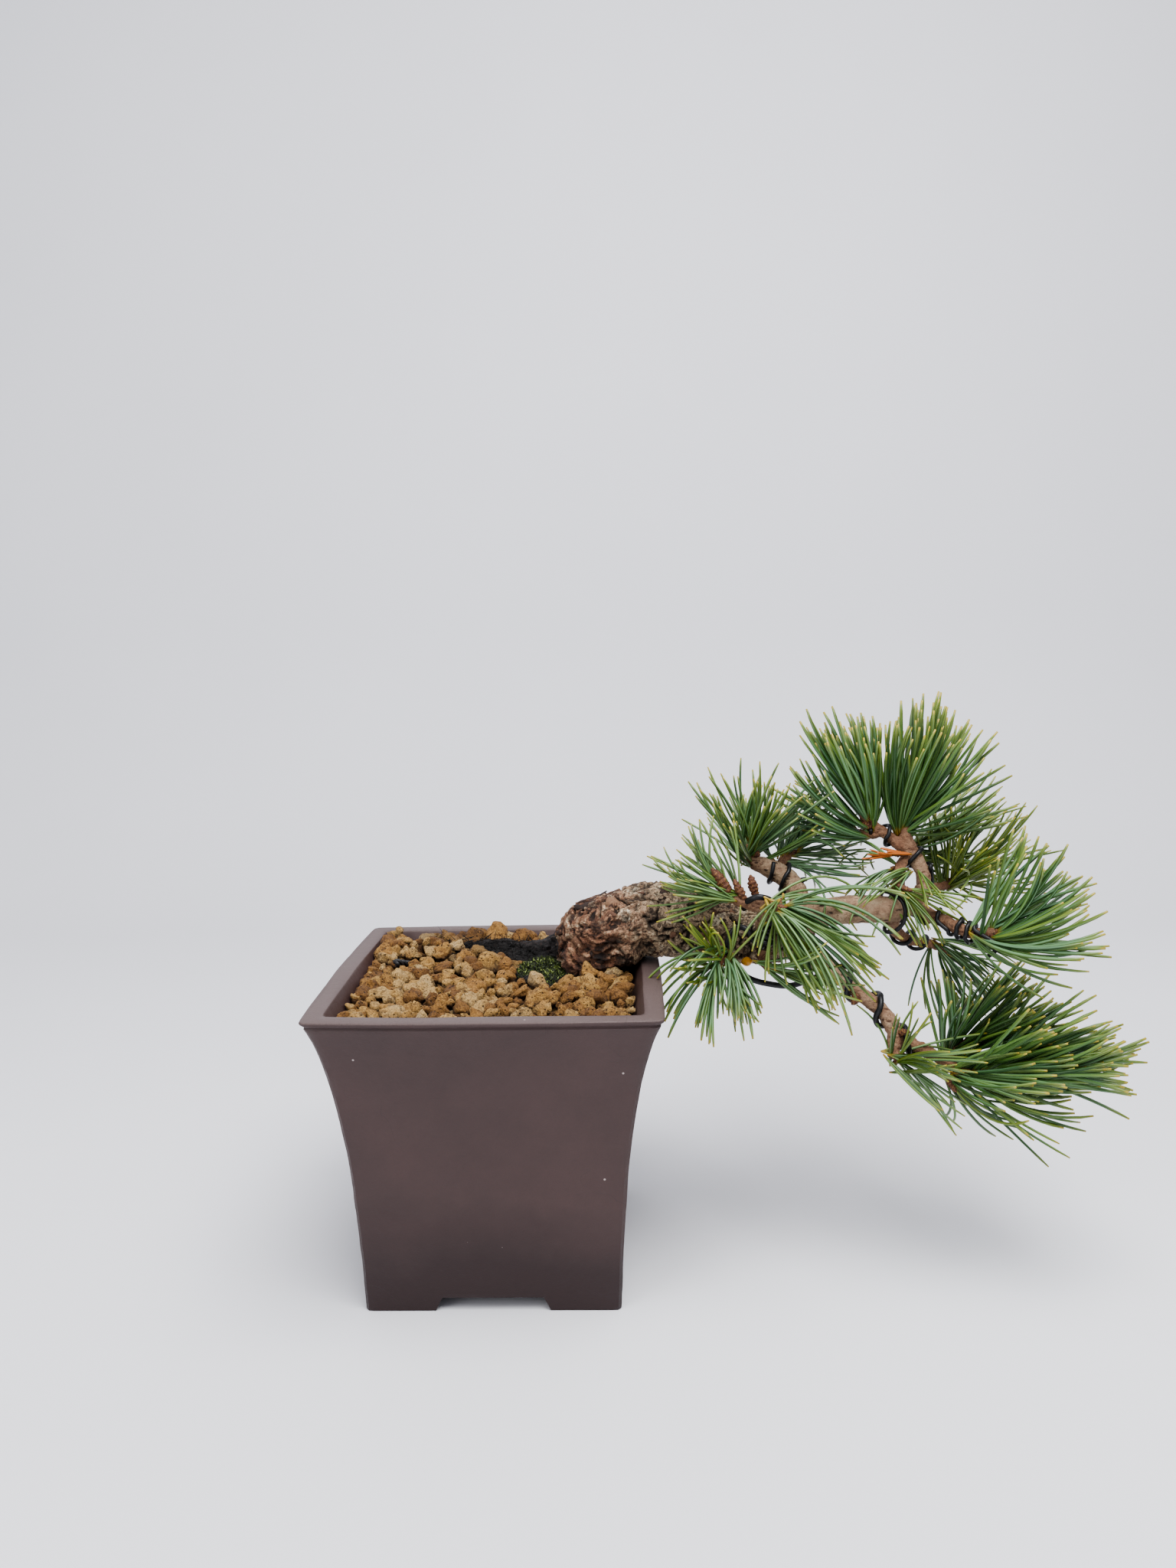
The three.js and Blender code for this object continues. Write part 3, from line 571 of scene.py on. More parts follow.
# %% skeleton
LIMBS = {
    "trunk": [
        (-26, 41, 96, 3.4), (-12, 40, 101, 5), (4, 37, 102.4, 5.4), (16, 33, 103, 6), (25, 27, 106.5, 9),
        (33, 20, 112.5, 13), (41, 14.5, 117, 14.6), (52, 12, 122.6, 13.2), (64, 10, 122.8, 13.6),
        (76, 7, 121, 12.8), (86, 5, 119.5, 11.2), (98, 2, 119.5, 10.6), (108, 0, 122, 8.5),
        (117, -1, 127, 5.5), (127, -2, 129, 5.2), (137, -2, 129, 5), (147, -2, 129, 4.6),
    ],
    "root_down": [(2, 37, 103, 5.2), (-3, 32, 92, 4.2), (-6, 26, 80, 2.8), (-4, 20, 66, 1.6)],
    "root_right": [(24, 30, 106, 6.5), (26, 27, 94, 4.6), (22, 24, 80, 3), (26, 20, 64, 1.6)],
    "root_left": [(-20, 40, 98, 3.4), (-20, 34, 90, 3), (-14, 28, 78, 2)],
    "lower_branch": [
        (102, 0, 117, 6), (110, -1, 114.5, 5), (119, -3, 109.5, 3.8), (127.8, -6, 102.7, 3),
        (133.5, -10, 98.2, 2.8), (138, -13, 94.9, 2.8), (140.6, -16, 91.2, 2.9), (142.3, -17, 87.6, 2.7),
        (149, -19, 83.8, 2.2), (157.5, -20, 79.3, 2), (164.9, -21, 74.6, 1.9), (173, -23, 74, 1.6),
        (180.6, -24, 76, 1.2),
    ],
    "lower_upper_shoot": [
        (156, -20, 80, 1.9), (160.5, -16, 78.5, 1.7), (164.4, -12, 78.2, 1.5), (168, -8, 80, 1.1),
    ],
    "lower_stub": [(142, -17, 88, 2.6), (141.3, -19, 84, 2.5), (141, -22, 80.4, 2)],
    "right_branch": [
        (143, -2, 129, 4), (150.9, -2, 129.6, 3), (157.5, -6, 127.2, 2.5), (163, -12, 125.6, 2.3),
        (168.9, -17, 123.6, 2.1), (175, -20, 125.7, 1.5),
    ],
    "crown_stem": [
        (151, -1, 128, 3.4), (154.8, 0, 133, 3), (156.5, 3, 140.1, 2.7), (154.7, 5, 145.1, 2.7),
        (152.1, 7, 150.5, 2.6), (151.1, 9, 157.3, 2.1), (150.9, 9, 163.1, 1.4),
    ],
    "crown_left": [
        (152, 7, 149, 2.3), (147.8, 8, 151.8, 2.2), (141.5, 10, 156.7, 2), (136.5, 11, 160.6, 1.7),
        (136.2, 11, 164.4, 1.1),
    ],
    "crown_far_left": [(143, 10, 155.8, 1.9), (137.8, 11, 154.2, 1.7), (132, 12, 155.6, 1.1)],
    "crown_thin_stem": [
        (145, -2, 129, 2.6), (145.6, -1.5, 133.4, 2.2), (146.8, 0, 139.1, 2.2), (148.3, 3, 143.6, 2.1),
        (151.4, 6, 147.5, 1.9),
    ],
    "crown_right": [
        (156.1, 3, 136.5, 2), (164.1, 10, 134.4, 1.6), (170.5, 14, 134.3, 1.5), (178.1, 18, 136.6, 1),
    ],
    "back_shoot": [(154, 6, 146, 2), (156, 13, 148, 1.6), (159, 19, 149, 1.1)],
    "under_shoot": [
        (144, -2, 126.8, 3), (147.5, 4, 118.9, 2.1), (156.4, 12, 113, 1.8), (166.1, 18, 109.4, 1.6),
        (171.6, 22, 105.2, 1),
    ],
    "left_branch": [
        (108, 0, 123, 4.6), (112, 5, 130, 4), (110, 8, 136, 3.8), (105, 10, 140, 3.8),
        (99, 11, 143, 3.5), (94.8, 12, 144.6, 2.5), (94, 12, 151, 1.3),
    ],
    "left_back_shoot": [(104, 12, 140, 2.4), (108, 16, 144, 1.7), (112, 19, 147, 1.1)],
    "front_spur": [
        (97, -3, 121, 4), (97, -7, 125, 3), (97, -10, 129, 2.9), (95.5, -13, 133, 2.8),
        (90, -13, 134.4, 2.2), (84.7, -13, 136.6, 1.8), (81, -12.5, 139, 1.4),
    ],
    "front_spur_shoot": [(96.5, -12, 131, 2.2), (98, -19, 134, 1.6), (99.3, -26, 135.9, 1.1)],
    "low_spur": [(81, -2, 116, 3), (80, -12, 115, 2), (79.5, -19, 114.8, 1.5)],
    "low_right_spur": [(97, -5, 114, 2.6), (96.5, -13, 112.5, 1.6), (96, -21, 113.5, 1.2)],
}
# Swellings where old bark and cut roots bulge: middle and half widths.
SWELLINGS = [
    ((37.5, 16, 115), (15, 12.5, 16)), ((29, 10, 107.5), (5.5, 6.5, 8.5)), ((38, 6, 110), (6.5, 6, 7.5)),
    ((47, 4, 113), (7, 5.5, 5.5)), ((57, 6, 119), (7, 6, 7)), ((70, 3, 118), (7, 6, 6)),
    ((50, 14, 126), (10, 9, 8.5)), ((66, 13, 126), (10, 9, 8)), ((82, 3, 117), (6, 7, 6)),
]


def swelling_mesh(middle, widths):
    """A ball stretched to its half widths: a tube up its axis, sqrt(1 - z^2) wide at each height z."""
    rise = np.linspace(-1, 1, 12)
    round_share = np.sqrt(np.maximum(1 - rise**2, 0.004))
    path = np.stack([0 * rise, 0 * rise, rise], 1)[None]
    points, quads, caps, _ = tubes(path, round_share[None], 16)
    return points * np.array(widths) + np.array(middle), quads, caps


def skeleton_mesh(names, swellings=()):
    """Some limbs as tubes and some swellings as balls, in one mesh that still overlaps itself."""
    parts = [tube_along(LIMBS[name], 0, 20, 1.6) for name in names]
    parts += [swelling_mesh(*swelling) for swelling in swellings]
    return joined(parts)


STATION_STEP = 0.8


def limb_stations(points):
    """Middle points of a limb, its radius there and how far along it they lie."""
    path = curve_through(points, STATION_STEP)
    return np.column_stack([path, STATION_STEP * np.arange(len(path))])


OLD_LIMBS = ["trunk", "root_down", "root_right", "root_left"]
YOUNG_LIMBS = [name for name in LIMBS if name not in OLD_LIMBS]
LIMB_STATIONS = np.concatenate([limb_stations(points) for points in LIMBS.values()])
print("skeleton:", len(LIMBS), "limbs,", len(LIMB_STATIONS), "stations")

# %% [markdown]
# ## Bark
# Old pine bark tears into layers that stand off the wood, while young branches are almost smooth with fine
# rings. The overlapping tubes are first melted into one skin with a voxel remesh. Then each point is pushed
# out by an amount worked out from its place: torn layers and fissures where the limb is thick, rings
# where it is thin. The same numbers are stored on the points, so that colour follows shape.

# %% bark finish
# The bark turns greyer between these places along the trunk, in millimetres.
GREYER_FROM, GREYER_TO = 42, 60


def bark_finish():
    """Old bark: a layer's tone sets its colour, from red-brown to pale grey; painted shade makes its cracks
    and the foot of each ledge nearly black. Young bark: tan with dark dots and painted shade in its creases,
    redder on slim shoots. Wet log bark is black-brown, and so is the painted shade at the knuckle's foot."""
    bark = Recipe("bark", 0.85)
    crack_shade, tone, old, wet_and_shade = (bark.attribute(name) for name in ("crack_shade", "tone", "old", "wet_and_shade"))
    fine = bark.grain(900.0, 6.0, 0.7)
    fibre_place = bark.node("Mapping", {"Vector": bark.place, "Scale": (0.35, 1.0, 1.0)}).outputs["Vector"]
    fibre = bark.grain(1500.0, 4.0, 0.65, fibre_place)
    layer_place = bark.node("Mapping", {"Vector": bark.place, "Scale": (0.6, 1.0, 1.0)}).outputs["Vector"]
    layers = bark.math("MULTIPLY", bark.grain(330.0, 7.0, 0.6, layer_place), 11.0)
    part = bark.math("FRACT", layers)
    step = bark.math("FLOOR", layers)
    # Painted shade at the foot of each ledge in the old bark's terraced bump.
    ledge_shade = bark.math("MULTIPLY", bark.between(part, 0.3, 0.02), old)
    mixed = bark.math("ADD", bark.math("MULTIPLY", tone, 0.62), bark.math("MULTIPLY", fine, 0.42))
    own = bark.math("SINE", bark.math("MULTIPLY", step, 7.7))
    mixed = bark.math("ADD", mixed, bark.math("MULTIPLY", own, 0.1))
    plate = bark.ramp(
        mixed,
        [
            (0.2, (0.016, 0.009, 0.006)), (0.34, (0.08, 0.034, 0.02)), (0.46, (0.24, 0.11, 0.062)),
            (0.58, (0.38, 0.22, 0.13)), (0.7, (0.58, 0.44, 0.3)), (0.86, (0.82, 0.74, 0.58)),
        ],
    )
    out_along = bark.node("SeparateXYZ", {"Vector": bark.place}).outputs["X"]
    grey_start, grey_full = (place / 1000 + POT_MIDDLE[0] for place in (GREYER_FROM, GREYER_TO))
    greyer = bark.between(out_along, grey_start, grey_full, 0.0, 0.62)
    grey = bark.ramp(fine, [(0.36, (0.09, 0.06, 0.038)), (0.6, (0.66, 0.54, 0.36))])
    plate = bark.mix(greyer, plate, grey)
    cloud = bark.grain(150.0, 6.0, 0.68)
    shade = bark.ramp(cloud, [(0.4, (0.16, 0.13, 0.13)), (0.52, (1, 1, 1))])
    plate = bark.mix(0.85, plate, shade, "MULTIPLY")
    # Painted shade: near black at the foot of each ledge and in the cracks.
    plate = bark.mix(bark.math("MULTIPLY", ledge_shade, 0.8), plate, (0.014, 0.008, 0.006))
    plate = bark.mix(bark.between(crack_shade, 0.0, 0.85, 1.0, 0.0), plate, (0.007, 0.004, 0.003))
    patch = bark.grain(160.0, 5.0, 0.65)
    young = bark.ramp(
        bark.math("ADD", bark.math("MULTIPLY", patch, 0.7), bark.math("MULTIPLY", fine, 0.3)),
        [
            (0.32, (0.12, 0.07, 0.045)), (0.44, (0.28, 0.175, 0.11)), (0.58, (0.42, 0.3, 0.195)),
            (0.75, (0.55, 0.46, 0.34)),
        ],
    )
    dots = bark.node("TexVoronoi", {"Vector": fibre_place, "Scale": 560.0}).outputs["Distance"]
    spread = bark.between(bark.grain(300.0, 2.0), 0.44, 0.52)
    dots = bark.math("MULTIPLY", bark.between(dots, 0.34, 0.2), spread)
    young = bark.mix(bark.math("MULTIPLY", dots, 0.9), young, (0.03, 0.016, 0.011))
    # Painted shade in the creases of young bark.
    young = bark.mix(bark.between(crack_shade, 0.0, 0.7, 0.85, 0.0), young, (0.055, 0.026, 0.016))
    colour = bark.mix(old, young, plate)
    slim = bark.attribute("slim")
    reddish = bark.ramp(fine, [(0.3, (0.09, 0.03, 0.017)), (0.7, (0.3, 0.14, 0.07))])
    colour = bark.mix(bark.math("MULTIPLY", slim, 0.75), colour, reddish)
    # Black-brown for the wet log; the same mask also paints shade at the knuckle's foot.
    wet_and_shade_colour = bark.ramp(
        fine,
        [(0.38, (0.0016, 0.001, 0.001)), (0.56, (0.008, 0.0036, 0.0028)), (0.74, (0.05, 0.021, 0.015))],
    )
    colour = bark.mix(wet_and_shade, colour, wet_and_shade_colour)
    gloss = bark.between(wet_and_shade, 0.0, 1.0, 0.85, 0.6)
    relief = bark.math("ADD", fine, bark.math("MULTIPLY", fibre, 0.7))
    ledge = bark.math("ADD", step, bark.between(part, 0.0, 0.2))
    relief = bark.math("ADD", relief, bark.math("MULTIPLY", ledge, bark.math("MULTIPLY", old, 0.35)))
    return bark.finish(colour, gloss, bark.bump(relief, 0.0009, 0.9))


BARK = bark_finish()

# %% bark shape


def remeshed(points, quads, caps, voxel):
    """One closed skin round everything, as arrays in millimetres from the pot's middle."""
    mesh = bpy.data.meshes.new("skin")
    mesh.from_pydata(to_frame(points).tolist(), [], [*quads.tolist(), *caps.tolist()])
    piece = bpy.data.objects.new("skin", mesh)
    bpy.context.scene.collection.objects.link(piece)
    melt = piece.modifiers.new("melt", "REMESH")
    melt.mode = "VOXEL"
    melt.voxel_size = voxel / 1000
    even = piece.modifiers.new("even", "SMOOTH")
    even.iterations = 6
    graph = bpy.context.evaluated_depsgraph_get()
    skin = piece.evaluated_get(graph).to_mesh()
    place = np.empty(len(skin.vertices) * 3)
    skin.vertices.foreach_get("co", place)
    normal = np.empty(len(skin.vertices) * 3)
    skin.vertices.foreach_get("normal", normal)
    corners = np.empty(len(skin.loops), np.int32)
    skin.loops.foreach_get("vertex_index", corners)
    piece.evaluated_get(graph).to_mesh_clear()
    bpy.data.objects.remove(piece)
    points = 1000 * (place.reshape(-1, 3) - POT_MIDDLE)
    return points, normal.reshape(-1, 3), corners.reshape(-1, 4)


def nearest_station(points):
    """For each point, the limb station whose surface is nearest, in blocks to save memory."""
    found = []
    for block in np.array_split(points, max(1, len(points) // 4000)):
        gap = np.linalg.norm(block[:, None] - LIMB_STATIONS[None, :, :3], axis=-1)
        found.append(np.argmin(gap - LIMB_STATIONS[None, :, 3], axis=1))
    return np.concatenate(found)


def hashed(number, seed):
    """A repeatable number from 0 to 1 for each whole number."""
    cell = np.stack([number, number * 0 + seed, number * 0], -1).astype(np.int64)
    return lattice(cell, seed)


def old_bark(points):
    """Flaking bark: height in millimetres, crack_shade and tone; crack_shade is painted shade, near black in
    the fissures, the pits and the foot of each layer.
    A noise field drawn out along the trunk is cut into terraces, so that its contour lines become the torn
    edges of layers: each layer is flat, has a tone of its own and a pale lip, and casts the next one's foot
    into shade. Long fissures lie where a second field crosses zero. Round the foot of the knuckle the bark
    lies in shells: terraces of the distance from a point on its face. Further out narrow pale ridges curl
    over it and small dark pits lie between them."""
    warp = 2.4 * wander(points, 9.0, 40) + 0.9 * wander(points, 2.6, 50)
    drawn = (points + warp) * [0.55, 1, 1]
    field = 3.4 * rough(drawn, 8.0, 11, 4)
    from_face = np.linalg.norm((points + 0.4 * warp - np.array([37, 0, 124])) * [1, 0.7, 1], axis=-1)
    shells = smooth_step(0.0, 0.3, 1.15 - np.linalg.norm((points - [35, 5, 108]) / [16, 14, 12], axis=-1))
    field = field * (1 - shells) + (from_face / 3.3 + 0.35 * noise(points, 5.0, 44)) * shells
    level = np.floor(field)
    part = field - level
    terrace = 0.4 * (np.clip(level, -5, 5) + smooth_step(0.0, 0.18, part))
    height = terrace * (1 - shells) + shells * 2.4 * (part - 0.5)
    gap = np.abs(noise((points + warp) * [0.4, 1, 1], 5.2, 71) + 0.4 * noise(points + warp, 2.2, 73))
    fissure = (1 - smooth_step(0.03, 0.15, gap)) * (1 - 0.6 * shells)
    curl = 1 - smooth_step(0.03, 0.2, np.abs(noise(points + 1.6 * warp, 3.4, 74)))
    curl = curl * smooth_step(-0.3, 0.3, noise(points, 9.0, 76)) * smooth_step(40, 50, points[:, 0])
    pits = smooth_step(0.25, 0.6, noise(points + warp, 1.7, 77))
    height = height - 1.5 * fissure + 0.55 * curl - 0.5 * pits + 0.16 * rough(points, 1.1, 51)
    foot = smooth_step(0.7, 1.0, part) * (1 - shells) + (1 - smooth_step(0.0, 0.24, part)) * shells
    # crack_shade is painted shade: near black in the fissures, the pits and the foot of each layer.
    crack_shade = (1 - 0.97 * fissure) * (1 - 0.85 * foot) * (1 - 0.7 * pits)
    lip = smooth_step(0.04, 0.16, part) - smooth_step(0.2, 0.42, part)
    tone = 0.4 + 0.3 * (hashed(level, 5) - 0.5) + 0.3 * noise(points, 3.0, 81)
    return height, crack_shade, tone + 0.22 * lip * (1 - 0.6 * shells) + 0.4 * curl


def young_bark(points, radius, run):
    """Smooth bark: low rings across the limb, closer on thin limbs, with fine creases between them, and
    painted shade that darkens the creases.
    """
    place = run + 0.9 * noise(points, 2.6, 61) + 0.4 * noise(points, 0.9, 62)
    ring = noise(np.stack([place, 0 * place, 0 * place], -1), 1.0, 63)
    crease = 1 - smooth_step(0.0, 0.2, np.abs(ring - 0.15))
    strength = smooth_step(1.2, 2.4, radius) * (1 - 0.65 * smooth_step(3.8, 5.0, radius))
    height = strength * (0.14 * ring - 0.2 * crease) + 0.1 * rough(points, 1.6, 64)
    height += 0.28 * noise(points, 4.6, 65) * smooth_step(1.5, 3.5, radius)
    knobs = (1 - smooth_step(2.2, 3.4, radius)) * smooth_step(0.9, 1.5, radius)
    height += knobs * (0.42 * noise(points, 2.3, 66) + 0.24 * noise(points, 1.1, 67))
    # The second value is painted shade in the creases.
    return height, 1 - 0.9 * crease * strength


# The half-buried root base is a wet log up to this end and this top; at the knuckle the bark gets painted
# shade at the bottom, fading out between these heights, and past the rim it gets neither.
LOG_END, LOG_TOP, SHADED_FOOT, UNSHADED_DRY_FROM = 21, 113, (100, 107), 53


def bark_relief(points):
    """Bark height and the values its colour needs, blended from old to young by the limb's radius.
    Wet log bark and the painted shade at the knuckle's foot share one mask, and there the bark gets fibres
    on top, drawn out along the log."""
    radius, run = LIMB_STATIONS[nearest_station(points), 3:].T
    old = smooth_step(5.6, 8.6, radius + 1.3 * noise(points, 7.0, 31))
    old_height, old_crack_shade, old_tone = old_bark(points)
    young_height, young_crack_shade = young_bark(points, radius, run)
    height = old * old_height + (1 - old) * young_height
    crack_shade = old * old_crack_shade + (1 - old) * young_crack_shade
    slim = 1 - smooth_step(2.0, 3.6, radius)
    log = (points[:, 0] < LOG_END + 2 * noise(points, 3.0, 72)) & (points[:, 2] < LOG_TOP)
    # Painted shade under the knuckle: its foot joins the wet log in one mask.
    foot = 1 - smooth_step(*SHADED_FOOT, points[:, 2] + 2 * noise(points, 4.0, 71))
    wet_and_shade = np.where(points[:, 0] > UNSHADED_DRY_FROM, 0, np.maximum(log, 0.9 * foot))
    height = height + wet_and_shade * (0.9 * rough(points * [0.6, 1, 1], 2.6, 75, 4))
    return height, {"crack_shade": crack_shade, "tone": old_tone, "old": old, "slim": slim, "wet_and_shade": wet_and_shade}


def make_bark(name, skeleton, voxel, nodes=()):
    """The skeleton's one skin, each point moved along its normal by the bark's height there."""
    points, normal, quads = remeshed(*skeleton, voxel)
    height, values = bark_relief(points)
    points = points + normal * height[:, None]
    make_piece(name, points, [quads], BARK, "bark", nodes, values=values)
    print(name, len(quads), "faces,", np.round(points.min(0)), np.round(points.max(0)))
    return points, normal, values


old_skeleton = skeleton_mesh(OLD_LIMBS, SWELLINGS)
trunk_points, trunk_normals, trunk_values = make_bark("trunk_bark", old_skeleton, 0.5, ["tree"])
make_bark("branch_bark", skeleton_mesh(YOUNG_LIMBS), 0.4)

# %% [markdown]
# Loose scales curl off old bark and catch the light at their edges. Each is a thin bent plate, one end
# held on the trunk and the other lifted. They are scattered over the points where the bark is old.

# %% bark scales


def scale_finish():
    scale = Recipe("bark_scale", 0.85)
    tone = scale.attribute("tone")
    fine = scale.grain(1300.0, 5.0, 0.7)
    mixed = scale.math("ADD", scale.math("MULTIPLY", tone, 0.6), scale.math("MULTIPLY", fine, 0.4))
    colour = scale.ramp(
        mixed,
        [
            (0.2, (0.02, 0.011, 0.008)), (0.38, (0.085, 0.04, 0.024)), (0.55, (0.17, 0.088, 0.05)),
            (0.72, (0.27, 0.18, 0.11)), (0.9, (0.48, 0.4, 0.28)),
        ],
    )
    return scale.finish(colour, None, scale.bump(fine, 0.0005, 0.6))


def bent_plates(place, out, along, sizes, lift, thick):
    """Thin closed plates: a grid of 5 rows by 4 columns, twice.
    A point s along and t across lies at s*length along, t*width across, and rises off the bark by
    lift*s^2 less the roundness t^2 of the trunk. The back is the same grid a thickness lower."""
    rows, columns = 5, 4
    size = rows * columns
    s = np.linspace(0, 1, rows)[:, None] * np.ones(columns)
    t = np.ones(rows)[:, None] * np.linspace(-1, 1, columns)
    narrow = 1 - 0.45 * s**2
    across = np.cross(out, along)
    length, width = sizes[:, 0, None, None, None], sizes[:, 1, None, None, None]
    rise = lift[:, None, None] * s**2 - 0.22 * t**2 * sizes[:, 1, None, None]
    face = place[:, None, None] + length * (s[..., None] - 0.3) * along[:, None, None]
    face = face + width * (t * narrow)[..., None] * across[:, None, None]
    face = face + rise[..., None] * out[:, None, None]
    back = face - thick * out[:, None, None]
    points = np.concatenate([face.reshape(len(place), -1, 3), back.reshape(len(place), -1, 3)], axis=1)
    top = grid_faces(rows, columns, closed=False)
    rim = grid_rim(rows, columns)
    beside = np.roll(rim, -1)
    wall = np.stack([beside, rim, rim + size, beside + size], -1)
    faces = np.concatenate([top, top[:, ::-1] + size, wall])
    return points.reshape(-1, 3), repeated(faces, points)


# Large plates that stand off the knuckle: middle, outward direction, direction along, length, half width,
# lift of the free end, tone.
BARK_PLATES = np.array([
    (37, 14, 130.5, -0.6, -0.1, 0.8, -0.8, 0, -0.6, 13, 4.4, 3.4, 0.0),
    (25.5, 17, 120.5, -0.85, -0.2, 0.5, -0.45, 0, -0.85, 9, 4, 2.4, 0.15),
    (25, 11, 114.5, -0.8, -0.6, 0.1, 0.1, -0.3, -0.95, 8, 3.6, 1, 0.45),
    (28.6, 5.5, 108.5, -0.6, -0.8, 0, 0.5, -0.35, -0.8, 13, 3.2, 1, 0.6),
    (32.5, 3, 108, -0.3, -0.95, -0.1, 0.5, -0.15, -0.85, 12, 3, 0.8, 0.4),
    (36.5, 1.5, 111, -0.1, -1, -0.1, 0.75, 0, -0.65, 12, 2.6, 0.8, 0.5),
    (57, 9, 134.6, 0.1, -0.4, 1, -1, 0, 0.06, 13, 3.6, 0.2, 0.85),
    (47, 5, 130, 0, -0.7, 0.7, -0.9, 0.1, 0.2, 10, 3, 0.9, 0.65),
    (62, 3, 131, 0.1, -0.6, 0.8, -0.95, 0, 0.1, 9, 2.6, 0.8, 0.75),
    (58, -1, 121, 0, -1, 0.1, 0.9, 0, 0.3, 9, 3.4, 0.4, 0.5),
])


def make_scales(count=110, seed=5):
    """Small scales at random places of the old bark, away from the damp log, the painted shade and the
    cracks, and the large plates, all bent a little by noise.
    """
    dice = np.random.default_rng(seed)
    likely = trunk_values["old"] * (1 - trunk_values["wet_and_shade"]) * (trunk_values["crack_shade"] > 0.3)
    picked = dice.choice(len(trunk_points), count, replace=False, p=likely / likely.sum())
    place, out = trunk_points[picked], unit(trunk_normals[picked] + 0.15 * dice.normal(size=(count, 3)))
    along = np.array([1.0, -0.1, 0.1]) + 0.8 * dice.normal(size=(count, 3))
    sizes = np.stack([dice.uniform(1.8, 5.2, count), dice.uniform(0.7, 1.7, count)], 1)
    place = np.concatenate([place, BARK_PLATES[:, :3]])
    out = np.concatenate([out, unit(BARK_PLATES[:, 3:6])])
    along = np.concatenate([along, BARK_PLATES[:, 6:9]])
    along = unit(along - np.sum(along * out, -1, keepdims=True) * out)
    sizes = np.concatenate([sizes, BARK_PLATES[:, 9:11]])
    lift = np.concatenate([dice.uniform(0.05, 0.8, count), BARK_PLATES[:, 11]])
    points, quads = bent_plates(place - 0.15 * out, out, along, sizes, lift, 0.45)
    points = points + 0.3 * wander(points, 1.3, 35)
    points = points + 0.5 * wander(points, 3.5, 38)
    tone = np.concatenate([dice.uniform(0.0, 0.55, count), BARK_PLATES[:, 12]])
    tone = np.repeat(tone, len(points) // len(tone))
    return make_piece("bark_scales", points, [quads], scale_finish(), "bark", values={"tone": tone})


scales = make_scales()
print("scales:", len(scales.data.polygons), "faces")

# %% [markdown]
# ## Training wires
# Black anodised wire holds the branches in shape. It is wound round a limb as a coil: a point that turns in
# the limb's cross plane while the middle moves along the limb. Free stretches join one coil to the next.
# A coil gives its limb, the shares of the limb where it starts and ends, its turns, the share of a turn where
# it starts and its clearance from the bark.

# %% wires
THIN_WIRE, THICK_WIRE = 1.5, 2.1
WIRES = {
    "wire_lower_branch": (THICK_WIRE, [
        [(89.5, -9, 131.5), (89.8, -14.5, 135.4), (93.5, -17, 137.6), (98.6, -15.5, 135.5), (100, -12, 130),
         (98.6, -13, 127.2)],
        "front_stack",
        [(91.5, -15.5, 122), (89.4, -14.4, 125.6), (85.8, -13.2, 125.2), (83.1, -13, 119.7),
         (84.4, -13, 113.4), (90.5, -13, 107.3), (99.4, -12, 104.3), (107, -9, 103)],
        ("lower_branch", 0.24, 0.69, 3.1, 0.45, 0.2),
    ]),
    "wire_right_branch": (THIN_WIRE, [
        [(141.2, 4.5, 131), (141.4, -1, 135.4), (146.2, -8, 133), (146.6, -9.4, 127), (144, -8, 122.6),
         (141.2, -6, 121.6), (141.6, -2, 122.4), (149, 4.5, 126)],
        ("right_branch", 0.34, 0.5, 0.9, 0.1, 0.25),
        ("right_branch", 0.62, 0.84, 2.8, 0.1, 0.5),
        [(174.5, -24, 121), (171.5, -22.5, 116.6)],
    ]),
    "wire_crown": (THIN_WIRE, [
        ("under_shoot", 0.74, 0.26, 2.1, 0.1, 0.3),
        [(154, 9, 125), (160.5, 7.5, 133)],
        ("crown_stem", 0.42, 0.62, 1.2, 0.1, 0.3),
        ("crown_left", 0.24, 0.66, 1.4, 0.5, 0.3),
    ]),
    "wire_left_branch": (THIN_WIRE, [
        [(97, 18, 123), (103, 16, 128)],
        ("left_branch", 0.38, 0.66, 1.9, 0.4, 0.4),
    ]),
}


def frenet_frames(path):
    """Two directions square to a path at each station, turned along by the smallest turn at every step."""
    along = unit(np.gradient(path, axis=0))
    smallest = np.argmin(np.abs(along[0]))
    axis = np.cross(along[0], np.eye(3)[smallest])
    normals = [np.cross(along[0], unit(axis))]
    for before, after in zip(along, along[1:]):
        turn = np.cross(before, after)
        size = np.linalg.norm(turn)
        kept = normals[-1]
        if size > 1e-9:
            turn = turn / size
            angle = np.arccos(np.clip(before @ after, -1, 1))
            sideways = np.cross(turn, kept) * np.sin(angle)
            kept = kept * np.cos(angle) + sideways + turn * (turn @ kept) * (1 - np.cos(angle))
        normals.append(kept)
    normals = np.array(normals)
    return normals, np.cross(along, normals)


def coil_points(limb, start_share, end_share, turns, phase, clear, diameter):
    """Points of a coil: radius of the limb there, plus half the wire and a little room."""
    path = curve_through(LIMBS[limb], 0.5)
    normals, binormals = frenet_frames(path[:, :3])
    count = round(turns * 16)
    share = np.linspace(start_share, end_share, count + 1)
    station = np.round(share * (len(path) - 1)).astype(int)
    angle = 2 * np.pi * (phase + turns * np.linspace(0, 1, count + 1))[:, None]
    reach = (path[station, 3] + diameter / 2 + clear)[:, None]
    outward = np.cos(angle) * normals[station] + np.sin(angle) * binormals[station]
    return path[station, :3] + reach * outward


